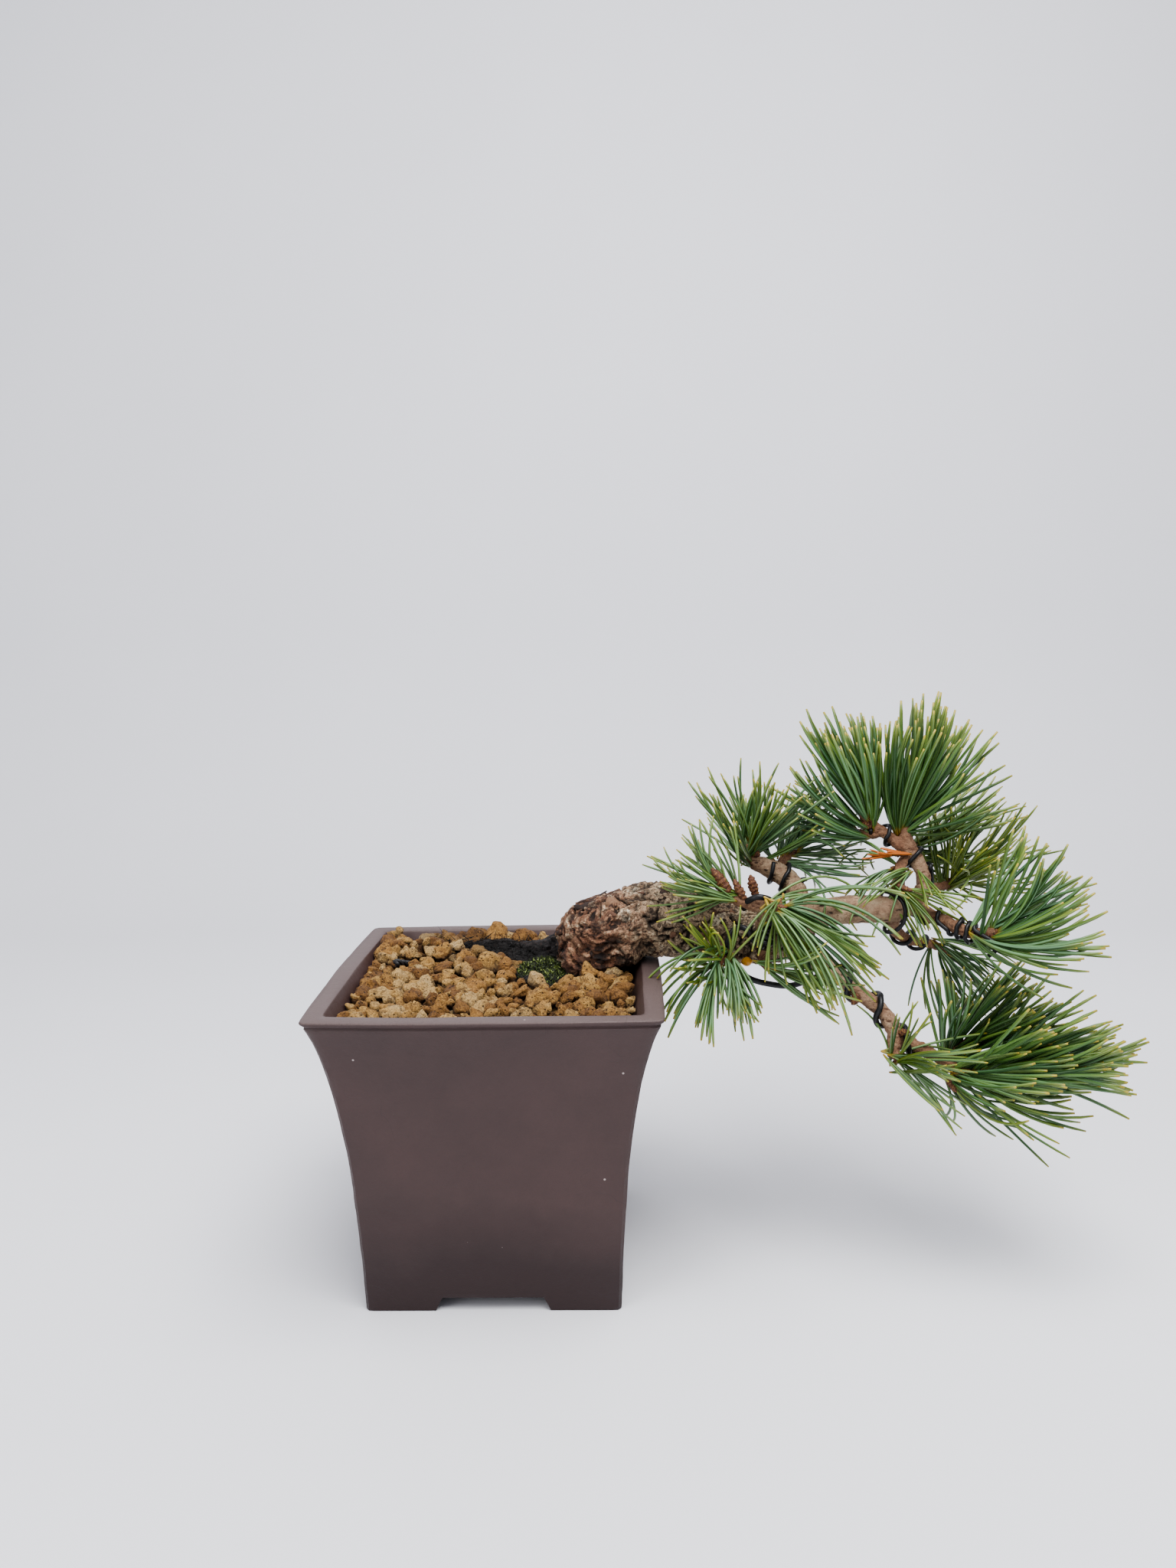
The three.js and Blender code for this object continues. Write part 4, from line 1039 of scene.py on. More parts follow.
def wire_finish():
    wire = Recipe("black_wire", 0.42)
    wire.shader.inputs["Metallic"].default_value = 0.35
    worn = wire.grain(500.0, 4.0)
    colour = wire.ramp(worn, [(0.35, (0.006, 0.006, 0.007)), (0.75, (0.022, 0.022, 0.025))])
    gloss = wire.between(worn, 0.3, 0.7, 0.34, 0.55)
    return wire.finish(colour, gloss, wire.bump(worn, 0.0002, 0.3))


BLACK_WIRE = wire_finish()


def stack_points(turns=3.5, reach=1.95, pitch=2.0):
    """Close turns of spare wire, one on another, in front of the stub: a helix about an upright line."""
    share = np.linspace(0, 1, round(16 * turns) + 1)
    angle = 2 * np.pi * turns * share + 0.6
    x, y = 96.6 + reach * np.cos(angle), -15.2 + reach * np.sin(angle)
    return np.stack([x, y, 126.4 - pitch * turns * share], -1)


def route_points(stop, diameter):
    """One stretch of a wire: the stack, a coil round a limb, or a free list of points."""
    if stop == "front_stack":
        return stack_points()
    return coil_points(*stop, diameter) if isinstance(stop, tuple) else np.array(stop, float)


def make_wire(name, diameter, route):
    """All stretches of a route joined by one smooth curve, as a round wire."""
    stops = [route_points(stop, diameter) for stop in route]
    points, quads, caps = tube_along(np.concatenate(stops), diameter / 2, 12, 0.7)
    return make_piece(name + "_round", points, [quads, caps], BLACK_WIRE, "wire", [name])


for wire_name, (wire_diameter, wire_route) in WIRES.items():
    made = make_wire(wire_name, wire_diameter, wire_route)
    print(made.name, len(made.data.polygons), "faces")

# %% [markdown]
# The tie wire holds the roots down. Its legs come up out of the drain hole and its ends are twisted together
# at the surface, where the twist shows as a short ribbed stick.

# %% tie wire
TIE_RADIUS, TIE_LEGS, TIE_TURNS, TIE_TWIST = 0.75, 3.6, 3, 1.15
TIE_FOOT, TIE_TIP = np.array([-33, 24, 101.0]), np.array([-40, 9, 107.0])


def make_tie():
    """One wire: up the left leg, out along the twist as one strand of a helix, back as the other, half a turn
    behind, and down the right leg."""
    along = unit(TIE_TIP - TIE_FOOT)
    side = unit(np.cross([0, 0, 1], along))
    up = np.cross(along, side)
    strand = TIE_TURNS * 12
    step = np.arange(2 * strand + 1)
    out = np.where(step <= strand, step, 2 * strand - step) / strand
    angle = (2 * np.pi * TIE_TURNS * out + np.where(step <= strand, 0, np.pi))[:, None]
    twist = TIE_FOOT + out[:, None] * (TIE_TIP - TIE_FOOT)
    twist = twist + TIE_TWIST * (np.cos(angle) * side + np.sin(angle) * up)
    left = [(-TIE_LEGS, 0, 6.5), (-TIE_LEGS, 0, 14), (-TIE_LEGS, 0, 24), (-34, 2, 42), (-36, 6, 78)]
    right = [(-28, 40, 84), (-10, 39, 58), (14, 26, 36)]
    right += [(TIE_LEGS, 0, 24), (TIE_LEGS, 0, 14), (TIE_LEGS, 0, 6.5)]
    points, quads, caps = tube_along(np.concatenate([left, twist, right]), TIE_RADIUS, 10, 0.8)
    return make_piece("tie_wire_round", points, [quads, caps], BLACK_WIRE, "wire", ["tie_wire"])


tie = make_tie()
print("tie wire:", len(tie.data.polygons), "faces")

# %% [markdown]
# ## Needles
# A white pine's needles grow in bundles of five from a short sheath. Each needle is a slim five-sided rod
# with a pale stripe down its inner side and a yellowed tip. A tuft spreads its bundles over a cap of
# directions about the shoot, and each needle leaves at its own angle and bends on its way.

# %% needle finish


def needle_finish():
    """Each needle's tone goes from deep to fresh green, and its warmth from blue-green at 0 to yellow-green
    at 1 and to the orange of a dead needle at 2."""
    leaf = Recipe("needle_green", 0.38)
    warm = leaf.attribute("warm")
    uv = leaf.node("UVMap", uv_map="along").outputs["UV"]
    parts = leaf.node("SeparateXYZ", {"Vector": uv})
    side, along = parts.outputs["X"], parts.outputs["Y"]
    tone = leaf.attribute("tone")
    deep = leaf.mix(warm, (0.018, 0.062, 0.012), (0.05, 0.092, 0.008))
    fresh = leaf.mix(warm, (0.12, 0.23, 0.045), (0.24, 0.28, 0.03))
    green = leaf.mix(tone, deep, fresh)
    pale = leaf.mix(warm, (0.16, 0.3, 0.17), (0.2, 0.3, 0.09))
    stripe = leaf.between(leaf.math("ABSOLUTE", leaf.math("SUBTRACT", side, 0.6)), 0.22, 0.1)
    colour = leaf.mix(leaf.math("MULTIPLY", stripe, 0.6), green, pale)
    streak_place = leaf.node("Mapping", {"Vector": uv, "Scale": (7.0, 12.0, 1.0)}).outputs["Vector"]
    streak = leaf.grain(1.0, 2.0, 0.5, streak_place)
    shade = leaf.ramp(streak, [(0.3, (0.5, 0.5, 0.5)), (0.7, (1, 1, 1))])
    colour = leaf.mix(0.35, colour, shade, "MULTIPLY")
    yellowed = leaf.between(leaf.math("ADD", along, leaf.math("MULTIPLY", tone, 0.05)), 0.8, 1.0)
    colour = leaf.mix(leaf.math("MULTIPLY", yellowed, 0.45), colour, (0.28, 0.3, 0.04))
    tip = leaf.between(leaf.math("ADD", along, leaf.math("MULTIPLY", tone, 0.03)), 0.975, 1.0)
    colour = leaf.mix(leaf.math("MULTIPLY", tip, 0.8), colour, (0.4, 0.3, 0.04))
    colour = leaf.mix(leaf.between(warm, 1.2, 1.7), colour, (0.42, 0.12, 0.025))
    sheath = leaf.between(along, 0.1, 0.02)
    colour = leaf.mix(sheath, colour, (0.36, 0.24, 0.04))
    return leaf.finish(colour, leaf.between(streak, 0.3, 0.7, 0.3, 0.46), None)


NEEDLE_GREEN = needle_finish()

# %% tufts
# A tuft is one fan of needles or more. A fan gives its base and aim in millimetres; its spread in degrees;
# how many needles it has; their length and half width; how far they turn back to the aim; how far they droop
# (less than 0: rise); how warm their green is.
TUFTS = {
    "crown_left": [
        ((136.5, 11, 163), (-14, 2, 32), 42, 90, 38, 0.64, 1.7, -0.4, 0.0),
        ((139, 10, 161), (-3, 2, 34), 16, 12, 36, 0.62, 0.8, -0.3, 0.0),
    ],
    "crown_far_left": [((133, 12, 155.4), (-28, 6, 10), 42, 42, 33, 0.56, 0.9, -0.7, 0.0)],
    "crown_top": [
        ((151, 9, 160), (13, 0, 42), 38, 95, 44, 0.66, 1.9, -0.4, 0.0),
        ((152, 8, 160), (24, -8, 32), 42, 34, 40, 0.64, 0.9, -0.9, 0.1),
    ],
    "crown_back": [((157, 17, 149), (30, 8, 12), 60, 75, 38, 0.46, 0.6, -0.5, 0.55)],
    "crown_right": [
        ((178, 18, 137), (24, 2, 15), 72, 70, 33, 0.42, 0.5, -0.4, 0.85),
        ((170, 14, 135.5), (12, -4, 22), 62, 45, 29, 0.42, 0.5, -0.3, 0.85),
    ],
    "crown_inner": [
        ((147, 3, 143), (-20, -2, 2), 66, 35, 28, 0.4, 0.1, 0.9, 0.35),
        ((146.5, 2, 148.5), (-14, -2, 1), 16, 10, 14, 0.45, 0.2, 0.0, 2.0),
    ],
    "fork_front": [((147.5, -6, 137.5), (18, -10, -5), 38, 25, 25, 0.44, 0.3, 0.5, 0.5)],
    "right_branch": [
        ((175, -20, 125), (26, -4, 22), 56, 40, 38, 0.62, 0.9, -1.1, 0.0),
        ((173, -20, 124), (32, -8, 3), 50, 34, 39, 0.62, 0.6, -0.5, 0.0),
        ((171, -20, 122), (22, -8, -14), 30, 10, 38, 0.56, 0.4, -0.5, 0.1),
    ],
    "under_right": [((169, 18, 107.5), (15, 2, -15), 56, 55, 33, 0.4, 0.4, 0.35, 0.0)],
    "left_top": [
        ((94.5, 12, 149), (-6, -2, 34), 66, 65, 34, 0.5, 0.7, -0.4, 0.25),
        ((95.5, 12, 148), (22, -2, 26), 56, 40, 34, 0.5, 0.7, -0.2, 0.25),
    ],
    "left_front": [
        ((81, -12.5, 139), (-20, 6, 13), 60, 55, 28, 0.45, 0.5, -0.4, 0.45),
        ((82, -12, 138), (-22, 0, 2), 40, 20, 27, 0.44, 0.3, 0.0, 0.5),
    ],
    "left_back": [((111, 18, 146), (24, 12, 9), 62, 80, 33, 0.45, 0.4, 0.1, 0.1)],
    "spur_front": [
        ((99.3, -26, 136), (24, -12, 6), 62, 30, 45, 0.52, 0.0, 1.7, 0.3),
        ((99.5, -25.5, 135), (20, -6, -17), 30, 40, 41, 0.54, 0.5, 0.4, 0.25),
        ((99, -25, 135), (-8, -12, -20), 50, 15, 24, 0.46, 0.1, 0.8, 0.5),
    ],
    "spur_low": [
        ((79.5, -19, 114.5), (-10, -10, -6), 80, 45, 29, 0.54, 0.0, 2.6, 0.1),
        ((79.5, -19, 114.5), (4, -8, -18), 44, 15, 24, 0.5, 0.0, 0.6, 0.2),
        ((79.5, -19, 116), (-6, -10, 16), 66, 40, 21, 0.46, 0.2, 0.0, 0.9),
    ],
    "spur_right": [((97, -22, 113.5), (24, -6, -9), 36, 20, 31, 0.45, 0.2, 0.3, 0.4)],
    "low_tip": [
        ((181, -24, 76.5), (40, 0, 7), 42, 104, 42, 0.64, 1.1, -0.2, 0.05),
        ((173, -24, 75.5), (32, -14, 8), 44, 55, 37, 0.64, 1.0, -0.3, 0.05),
        ((165, -23, 75.5), (30, -14, 6), 42, 38, 33, 0.62, 0.9, -0.3, 0.1),
    ],
    "low_upper": [
        ((169, -9, 80.5), (26, -2, 20), 46, 75, 37, 0.6, 0.8, -0.4, 0.0),
        ((163, -13, 79.5), (10, -2, 24), 44, 25, 30, 0.58, 0.6, -0.2, 0.0),
    ],
    "low_hanging": [
        ((166, -23, 72.5), (26, -4, -14), 34, 15, 42, 0.5, 0.2, -0.2, 0.1),
        ((160.5, -24, 71), (16, -4, -24), 28, 10, 38, 0.5, 0.2, -0.5, 0.3),
    ],
    "low_stub": [
        ((142.2, -23, 80.5), (26, -8, -8), 40, 30, 32, 0.45, 0.3, 0.4, 0.35),
        ((142, -23, 81), (12, -6, 20), 50, 20, 23, 0.45, 0.2, 0.3, 0.6),
    ],
}
BUNDLE = 5
NEEDLE_ROWS, NEEDLE_SIDES = 11, 5
GOLDEN_ANGLE = np.pi * (3 - np.sqrt(5))
SHOOT_STRETCH = 12.0


def added_up(steps):
    """Places reached from the start: 0 and the running sum of the steps."""
    return np.concatenate([np.zeros((len(steps), 1, 3)), np.cumsum(steps, axis=1)], axis=1)


def tilt_to(aim):
    """A turn matrix whose third column is the aim."""
    aim = unit(np.array(aim, float))
    side = unit(np.cross(aim, [0.2, 1, 0.1]))
    return np.stack([side, np.cross(aim, side), aim], axis=1)


def needle_paths(base, aim, spread, count, length, inward, droop, dice):
    """Middle lines of a tuft's needles.
    Bundle i leaves at spread*sqrt(i/n) from the aim and i golden angles round it, so that bundles are even
    over the cap; the wide ones start lower on the shoot. A needle's direction goes from its bundle's, fanned
    a few degrees, to one pulled towards the aim and the ground; adding up its directions gives its line."""
    bundles = count // BUNDLE
    order = np.repeat(np.arange(bundles), BUNDLE)
    outward = np.sqrt((order + 0.5) / bundles)
    polar = np.radians(spread) * outward * np.repeat(dice.uniform(0.6, 1.25, bundles), BUNDLE)
    turn = GOLDEN_ANGLE * order + np.repeat(dice.normal(0, 0.8, bundles), BUNDLE)
    leave = np.stack([np.sin(polar) * np.cos(turn), np.sin(polar) * np.sin(turn), np.cos(polar)], -1)
    leave = leave @ tilt_to(aim).T
    axis = unit(np.array(aim, float))
    first = unit(leave + dice.normal(0, 0.12, (len(order), 3)))
    sway = np.repeat(dice.normal(0, 0.45, (bundles, 3)), BUNDLE, axis=0)
    sway = sway + dice.normal(0, 0.28, (len(order), 3))
    last = unit(first + inward * axis + np.array([0, 0, -droop]) + sway)
    share = np.linspace(0, 1, NEEDLE_ROWS)[None, :, None]
    turned_share = share ** dice.uniform(0.5, 1.2, (len(order), 1, 1))
    direction = unit(first[:, None] * (1 - turned_share) + last[:, None] * turned_share)
    size = length * dice.uniform(0.74, 1.1, (len(order), 1, 1)) / (NEEDLE_ROWS - 1)
    start = np.array(base, float) + axis * (4 - SHOOT_STRETCH * outward[:, None]) + 0.9 * leave
    return start[:, None] + added_up(direction[:, :-1] * size)


def make_needles(name, fans, seed):
    """One piece for a tuft: every needle a slim rod that thins a little towards its blunt tip."""
    dice = np.random.default_rng(seed)
    points_each = NEEDLE_ROWS * NEEDLE_SIDES + 2
    parts, tones, warmths, uvs = [], [], [], []
    for base, aim, spread, count, length, half_width, inward, droop, warm in fans:
        paths = needle_paths(base, aim, spread, count, length, inward, droop, dice)
        share = np.linspace(0, 1, NEEDLE_ROWS)
        girth = half_width * np.interp(share, [0, 0.08, 0.5, 0.9, 1], [0.7, 0.86, 1, 0.9, 0.55])
        radii = girth[None] * dice.uniform(0.88, 1.12, (len(paths), 1))
        points, quads, caps, along = tubes(paths, radii, NEEDLE_SIDES, dice.uniform(0, 6))
        ring = np.tile(np.linspace(0, 1, NEEDLE_SIDES), NEEDLE_ROWS)
        side = np.tile(np.concatenate([ring, [0.5, 0.5]]), len(paths))
        parts.append((points, quads, caps))
        tones.append(np.repeat(dice.uniform(0, 1, len(paths)) ** 1.3, points_each))
        uvs.append(np.stack([side, along], -1))
        warmth = np.clip(warm + dice.normal(0, 0.16, len(paths)), 0, max(1, warm))
        warmths.append(np.repeat(warmth, points_each))
    points, quads, caps = joined(parts)
    node = "needles_" + name
    values = {"tone": np.concatenate(tones), "warm": np.concatenate(warmths)}
    body = (node + "_fine", points, [quads, caps])
    return make_piece(*body, NEEDLE_GREEN, "needles", [node], values=values, uv=np.concatenate(uvs))


for index, (tuft_name, tuft_fans) in enumerate(TUFTS.items()):
    made = make_needles(tuft_name, tuft_fans, 100 + index)
    print(made.name, len(made.data.polygons), "faces")

# %% [markdown]
# ## Stones
# The dressing is broken pumice-like gravel, 5 to 9 mm. A stone is a ball whose points are cut back by
# random planes, which leaves flat faces and rounded corners, and is then roughened. Stones lie on a loose
# grid in two layers, with larger, listed ones behind; none lies on the roots or the moss.

# %% stone finish


def stone_finish():
    stone = Recipe("pumice", 0.9)
    tone = stone.attribute("tone")
    cloud = stone.grain(240.0, 6.0, 0.7)
    fine = stone.grain(1500.0, 6.0, 0.75)
    pits = stone.node("TexVoronoi", {"Vector": stone.place, "Scale": 800.0}).outputs["Distance"]
    mixed = stone.math("ADD", stone.math("MULTIPLY", tone, 0.5), stone.math("MULTIPLY", cloud, 0.55))
    colour = stone.ramp(
        mixed,
        [
            (0.16, (0.12, 0.055, 0.022)), (0.32, (0.33, 0.16, 0.048)), (0.46, (0.54, 0.285, 0.085)),
            (0.6, (0.7, 0.42, 0.14)), (0.76, (0.8, 0.55, 0.25)), (0.92, (0.66, 0.54, 0.38)),
        ],
    )
    shade = stone.ramp(fine, [(0.34, (0.22, 0.17, 0.13)), (0.58, (1, 1, 1))])
    colour = stone.mix(0.75, colour, shade, "MULTIPLY")
    stain = stone.between(stone.grain(330.0, 4.0, 0.7), 0.52, 0.62)
    colour = stone.mix(stone.math("MULTIPLY", stain, 0.6), colour, (0.1, 0.045, 0.016))
    pitted = stone.between(stone.grain(420.0, 3.0), 0.47, 0.56)
    hole = stone.math("MULTIPLY", stone.between(pits, 0.36, 0.16), pitted)
    # Painted shade in the pits that the bump dents into the pumice.
    colour = stone.mix(stone.math("MULTIPLY", hole, 0.85), colour, (0.06, 0.03, 0.015))
    # Painted shade on the stones' undersides and on the stones low in the bed.
    colour = stone.mix(stone.math("MULTIPLY", stone.attribute("deep"), 0.82), colour, (0.06, 0.027, 0.012))
    relief = stone.math("SUBTRACT", stone.math("ADD", fine, cloud), stone.math("MULTIPLY", hole, 1.2))
    return stone.finish(colour, None, stone.bump(relief, 0.002, 1.0))


def ball_grid(level):
    """Points and triangles of a ball: an icosahedron split a number of times."""
    mesh = bpy.data.meshes.new("ball")
    shape = bmesh.new()
    bmesh.ops.create_icosphere(shape, subdivisions=level, radius=1.0)
    shape.to_mesh(mesh)
    shape.free()
    points = np.array([vertex.co for vertex in mesh.vertices])
    faces = np.array([face.vertices for face in mesh.polygons])
    bpy.data.meshes.remove(mesh)
    return points, faces


def chipped(count, level, dice, cuts=9):
    """Many stones of about half width 1: every point that lies past a cutting plane is moved back to it, and
    coarse and fine noise makes the faces lumpy."""
    ball, faces = ball_grid(level)
    shape = np.repeat(ball[None], count, axis=0) * dice.uniform(0.9, 1.2, (count, 1, 3))
    for _ in range(cuts):
        plane = unit(dice.normal(size=(count, 1, 3)))
        past = np.sum(shape * plane, -1, keepdims=True) - dice.uniform(0.62, 0.98, (count, 1, 1))
        shape = shape - 0.85 * plane * np.maximum(past, 0)
    apart = shape.reshape(-1, 3) + np.repeat(np.arange(count) * 7.7, len(ball))[:, None]
    bumps = 0.36 * noise(apart, 0.8, 77) + 0.2 * noise(apart, 0.4, 78)
    return shape * (1 + bumps.reshape(count, -1, 1)), faces


def turned(shape, dice):
    """Each stone turned by its own random rotation: three random directions made square to each other."""
    first = unit(dice.normal(size=(len(shape), 3)))
    other = dice.normal(size=(len(shape), 3))
    second = unit(other - np.sum(other * first, -1, keepdims=True) * first)
    turn = np.stack([first, second, np.cross(first, second)], axis=1)
    return shape @ turn


def open_ground(x, y):
    """How bare the ground is: over 0 on the roots and the moss, under 0 on the stones.
    It is the highest of four ovals: along the root base, over the moss, between them and at the knuckle."""
    roots = 1 - np.hypot((x + 1) / 26, (y - 35.5 + 0.1 * x) / 7)
    moss = 1 - np.hypot((x - 17) / 11, (y - 9) / 14)
    between = 1 - np.hypot((x - 6) / 17, (y - 28) / 9)
    knuckle = 1 - np.hypot((x - 37) / 13, (y - 15) / 13)
    return np.maximum.reduce([roots, moss, between, knuckle])


def ground_level(x, y):
    """Height of the stones' bed: level in front, a little higher at the tree and banked up at the back."""
    bank = 5.0 * smooth_step(4, 38, y) * (1 - 0.75 * smooth_step(-14, 4, x))
    return 101.4 + 1.6 * np.exp(-(((x - 4) / 34) ** 2) - ((y - 16) / 26) ** 2) + bank


def scattered(dice, spacing, reach):
    """Places on a loose grid: rows set off by half, each place moved by up to a third of the spacing."""
    line = np.arange(-reach, reach + 0.1, spacing)
    x, y = np.meshgrid(line, line)
    x = x + spacing / 2 * (np.arange(len(line)) % 2)[:, None] - spacing / 4
    place = np.stack([x.ravel(), y.ravel()], 1) + dice.uniform(-0.33, 0.33, (x.size, 2)) * spacing
    return np.clip(place, -reach, reach)


STONE_REACH = 49.0
# The scattered layers: spacing, height above the bed, smallest and largest half width.
STONE_LAYERS = ((5.6, -2.4, 2.4, 3.3), (5.3, 1.3, 1.7, 3.9))
# Large stones that lie behind and on the root base: middle and half width.
BACK_STONES = np.array([
    (-5, 45.6, 106.7, 5.2), (6.5, 45, 106.5, 5.2), (-15, 45.5, 106.1, 4.8), (-25, 45, 105.7, 4.6),
    (-34, 45, 105.3, 4.2), (-21, 36.5, 105.2, 3), (-11, 27, 105.4, 3.8), (-15, 20, 105.5, 4.4),
    (-5, 14.5, 105.5, 4.3), (1.5, 8.5, 105, 4), (15, -7.5, 105, 3.9), (34, -0.5, 105.2, 3.8),
    (42, 1, 104.6, 3.2), (14, 47, 104.9, 3.2), (21, 47, 104.7, 3.6), (-10.5, 47.5, 104, 4.2),
    (1, 48, 103.9, 4.2), (-20, 48, 104.1, 4), (-29.5, 47.5, 104.1, 4),
])


def make_stones(seed=12):
    """The large stones and two scattered layers, without those that would lie on bare ground. A stone's
    underside is darker with painted shade, and so are all stones whose middle lies below the bed."""
    dice = np.random.default_rng(seed)
    layers = [BACK_STONES]
    for spacing, lift, low, high in STONE_LAYERS:
        place = scattered(dice, spacing, STONE_REACH)
        size = low + (high - low) * dice.uniform(0, 1, len(place)) ** 1.3
        wall = flare_half(104.0) - POT_WALL - 0.85 * size
        place = np.clip(place, -wall[:, None], wall[:, None])
        x, y = place.T
        z = ground_level(x, y) + lift + dice.uniform(-0.9, 0.9, len(place))
        near = np.hypot(x[:, None] - BACK_STONES[:, 0], y[:, None] - BACK_STONES[:, 1]) - BACK_STONES[:, 3]
        keep = (open_ground(x, y) < 0) & ((lift < 0) | (near.min(axis=1) > 0.6 * size))
        layers.append(np.column_stack([x, y, z, size])[keep])
    stones = np.concatenate(layers)
    shape, faces = chipped(len(stones), 3, dice, 9)
    longer, lower = dice.uniform(0.95, 1.4, len(stones)), dice.uniform(0.7, 1, len(stones))
    stretch = np.stack([longer, np.ones(len(stones)), lower], 1)
    shape = turned(shape * stretch[:, None], dice) * stones[:, None, 3:] + stones[:, None, :3]
    points = shape.reshape(-1, 3)
    inner = flare_half(points[:, 2]) - POT_WALL - 0.3
    points[:, :2] = np.clip(points[:, :2], -inner[:, None], inner[:, None])
    # Painted shade: the lower part of each stone, and every stone whose middle lies below the bed, is darker.
    deep = 1 - smooth_step(-0.45, 0.3, (shape[..., 2] - stones[:, None, 2]) / stones[:, None, 3])
    buried = stones[:, 2] < ground_level(stones[:, 0], stones[:, 1])
    deep = np.maximum(deep, 0.55 * buried[:, None])
    values = {"tone": np.repeat(dice.uniform(0, 1, len(stones)), shape.shape[1]), "deep": deep.ravel()}
    triangles = repeated(faces, shape)
    print("stones:", len(stones), "stones,", len(triangles), "faces")
    finish = stone_finish()
    make_piece("dressing_stones", points, [triangles], finish, "stone", ["stone_dressing"], values=values)


make_stones()

# %% [markdown]
# ## Root ball, soil and moss
# Dark damp peat shows round the root base. It is a lumpy mound that rises to the bare ground, strewn with
# crumbs and root hairs. The moss is a low cushion of very small pointed leaves.

# %% peat


def peat_finish(name):
    peat = Recipe(name, 0.75)
    fine = peat.grain(1400.0, 6.0, 0.75)
    cloud = peat.grain(180.0, 4.0)
    colour = peat.ramp(
        fine,
        [(0.36, (0.0015, 0.001, 0.0009)), (0.58, (0.0065, 0.0038, 0.0028)), (0.8, (0.05, 0.028, 0.017))],
    )
    colour = peat.mix(peat.between(cloud, 0.55, 0.75, 0.0, 0.3), colour, (0.03, 0.012, 0.009))
    return peat.finish(colour, peat.between(fine, 0.3, 0.7, 0.6, 0.95), peat.bump(fine, 0.0012, 1.0))


PEAT = peat_finish("peat")
PEAT_HALF, PEAT_BOTTOM = 46, 95.6


def peat_slope(y):
    """The bare ground rises towards the root base."""
    return 2.6 * smooth_step(4, 34, y)


def blades(start, direction, length, girth, dice, rows=4, bend=0.5):
    """Short three-sided leaves: each starts in its direction and bends by a random amount."""
    count = len(start)
    end = unit(direction + bend * dice.normal(size=(count, 3)))
    share = np.linspace(0, 1, rows)[None, :, None]
    course = unit(direction[:, None] * (1 - share) + end[:, None] * share)
    line = added_up((course * (length / (rows - 1))[:, None, None])[:, :-1])
    radii = girth[:, None] * np.interp(np.linspace(0, 1, rows), [0, 0.35, 1], [0.6, 1, 0.12])[None]
    return tubes(start[:, None] + line, radii, 3)


def make_root_ball():
    """A mound of peat under the bare ground: a lumpy sheet with a flat underside.
    Its height follows how bare the ground is, and it reaches the pot's wall nowhere."""
    count = 96
    line = PEAT_HALF * np.linspace(-1, 1, count)
    x, y = np.repeat(line, count), np.tile(line, count)
    flat = np.stack([x, y, 0 * x], 1)
    bare = smooth_step(-0.4, 0.3, open_ground(x, y))
    z = 99.0 + 3.2 * bare + peat_slope(y) * bare + 0.7 * rough(flat, 5.0, 81) + 0.5 * rough(flat, 1.5, 83)
    top = np.stack([x, y, z], 1)
    bottom = np.stack([x, y, np.full(x.size, PEAT_BOTTOM)], 1)
    sheet = grid_faces(count, count, closed=False)
    rim = grid_rim(count, count)
    beside = np.roll(rim, -1)
    wall = np.stack([rim, beside, beside + x.size, rim + x.size], -1)
    faces = np.concatenate([sheet, sheet[:, ::-1] + x.size, wall[:, ::-1]])
    return make_piece("peat_mound", np.concatenate([top, bottom]), [faces], PEAT, "root_soil", ["root_ball"])


def make_crumbs(count=1300, seed=31):
    """Crumbs of peat and bark, 1 to 2 mm, on the bare ground."""
    dice = np.random.default_rng(seed)
    x, y = dice.uniform(-32, 52, 6 * count), dice.uniform(-2, 46, 6 * count)
    bare = np.flatnonzero(open_ground(x, y) > 0.02)[:count]
    x, y = x[bare], y[bare]
    flat = np.stack([x, y, np.zeros(len(x))], 1)
    z = 102.4 + peat_slope(y) + 0.7 * rough(flat, 5.0, 81)
    shape, faces = chipped(len(x), 1, dice, 6)
    size = dice.uniform(0.4, 1.3, (len(x), 1, 1))
    shape = turned(shape, dice) * size + np.column_stack([x, y, z])[:, None]
    points, triangles = shape.reshape(-1, 3), repeated(faces, shape)
    return make_piece("peat_crumbs", points, [triangles], PEAT, "root_soil", smooth=False)


def make_fibres(count=520, seed=33):
    """Dark root hairs and bits of bark that lie over the log and the peat: thin rods that bend at random."""
    dice = np.random.default_rng(seed)
    x = dice.uniform(-27, 27, count)
    y = 33.5 - 0.1 * x + dice.normal(0, 5.0, count)
    log = np.sqrt(np.maximum(0, 1 - ((y - 37 + 0.2 * x) / 6.5) ** 2))
    z = 102.2 + peat_slope(y) + 2.2 * log + dice.uniform(-0.2, 0.5, count)
    flat = dice.normal(size=(count, 3)) * [1, 0.8, 0.32]
    length, girth = dice.uniform(2, 6.5, count), dice.uniform(0.09, 0.32, count)
    points, quads, caps, _ = blades(np.stack([x, y, z], 1), unit(flat), length, girth, dice, 6, 0.7)
    return make_piece("root_fibres", points, [quads, caps], PEAT, "root_soil")


mound = make_root_ball()
crumbs = make_crumbs()
fibres = make_fibres()
print("peat:", sum(len(piece.data.polygons) for piece in (mound, crumbs, fibres)), "faces")

# %% moss


def moss_finish():
    moss = Recipe("moss", 0.6)
    tone = moss.attribute("tone")
    colour = moss.ramp(
        tone,
        [
            (0.0, (0.004, 0.007, 0.001)), (0.6, (0.014, 0.024, 0.002)), (0.9, (0.07, 0.1, 0.006)),
            (1.0, (0.42, 0.5, 0.18)),
        ],
    )
    return moss.finish(colour, None, moss.bump(moss.grain(2500.0, 3.0), 0.0002, 0.4))


MOSS = moss_finish()


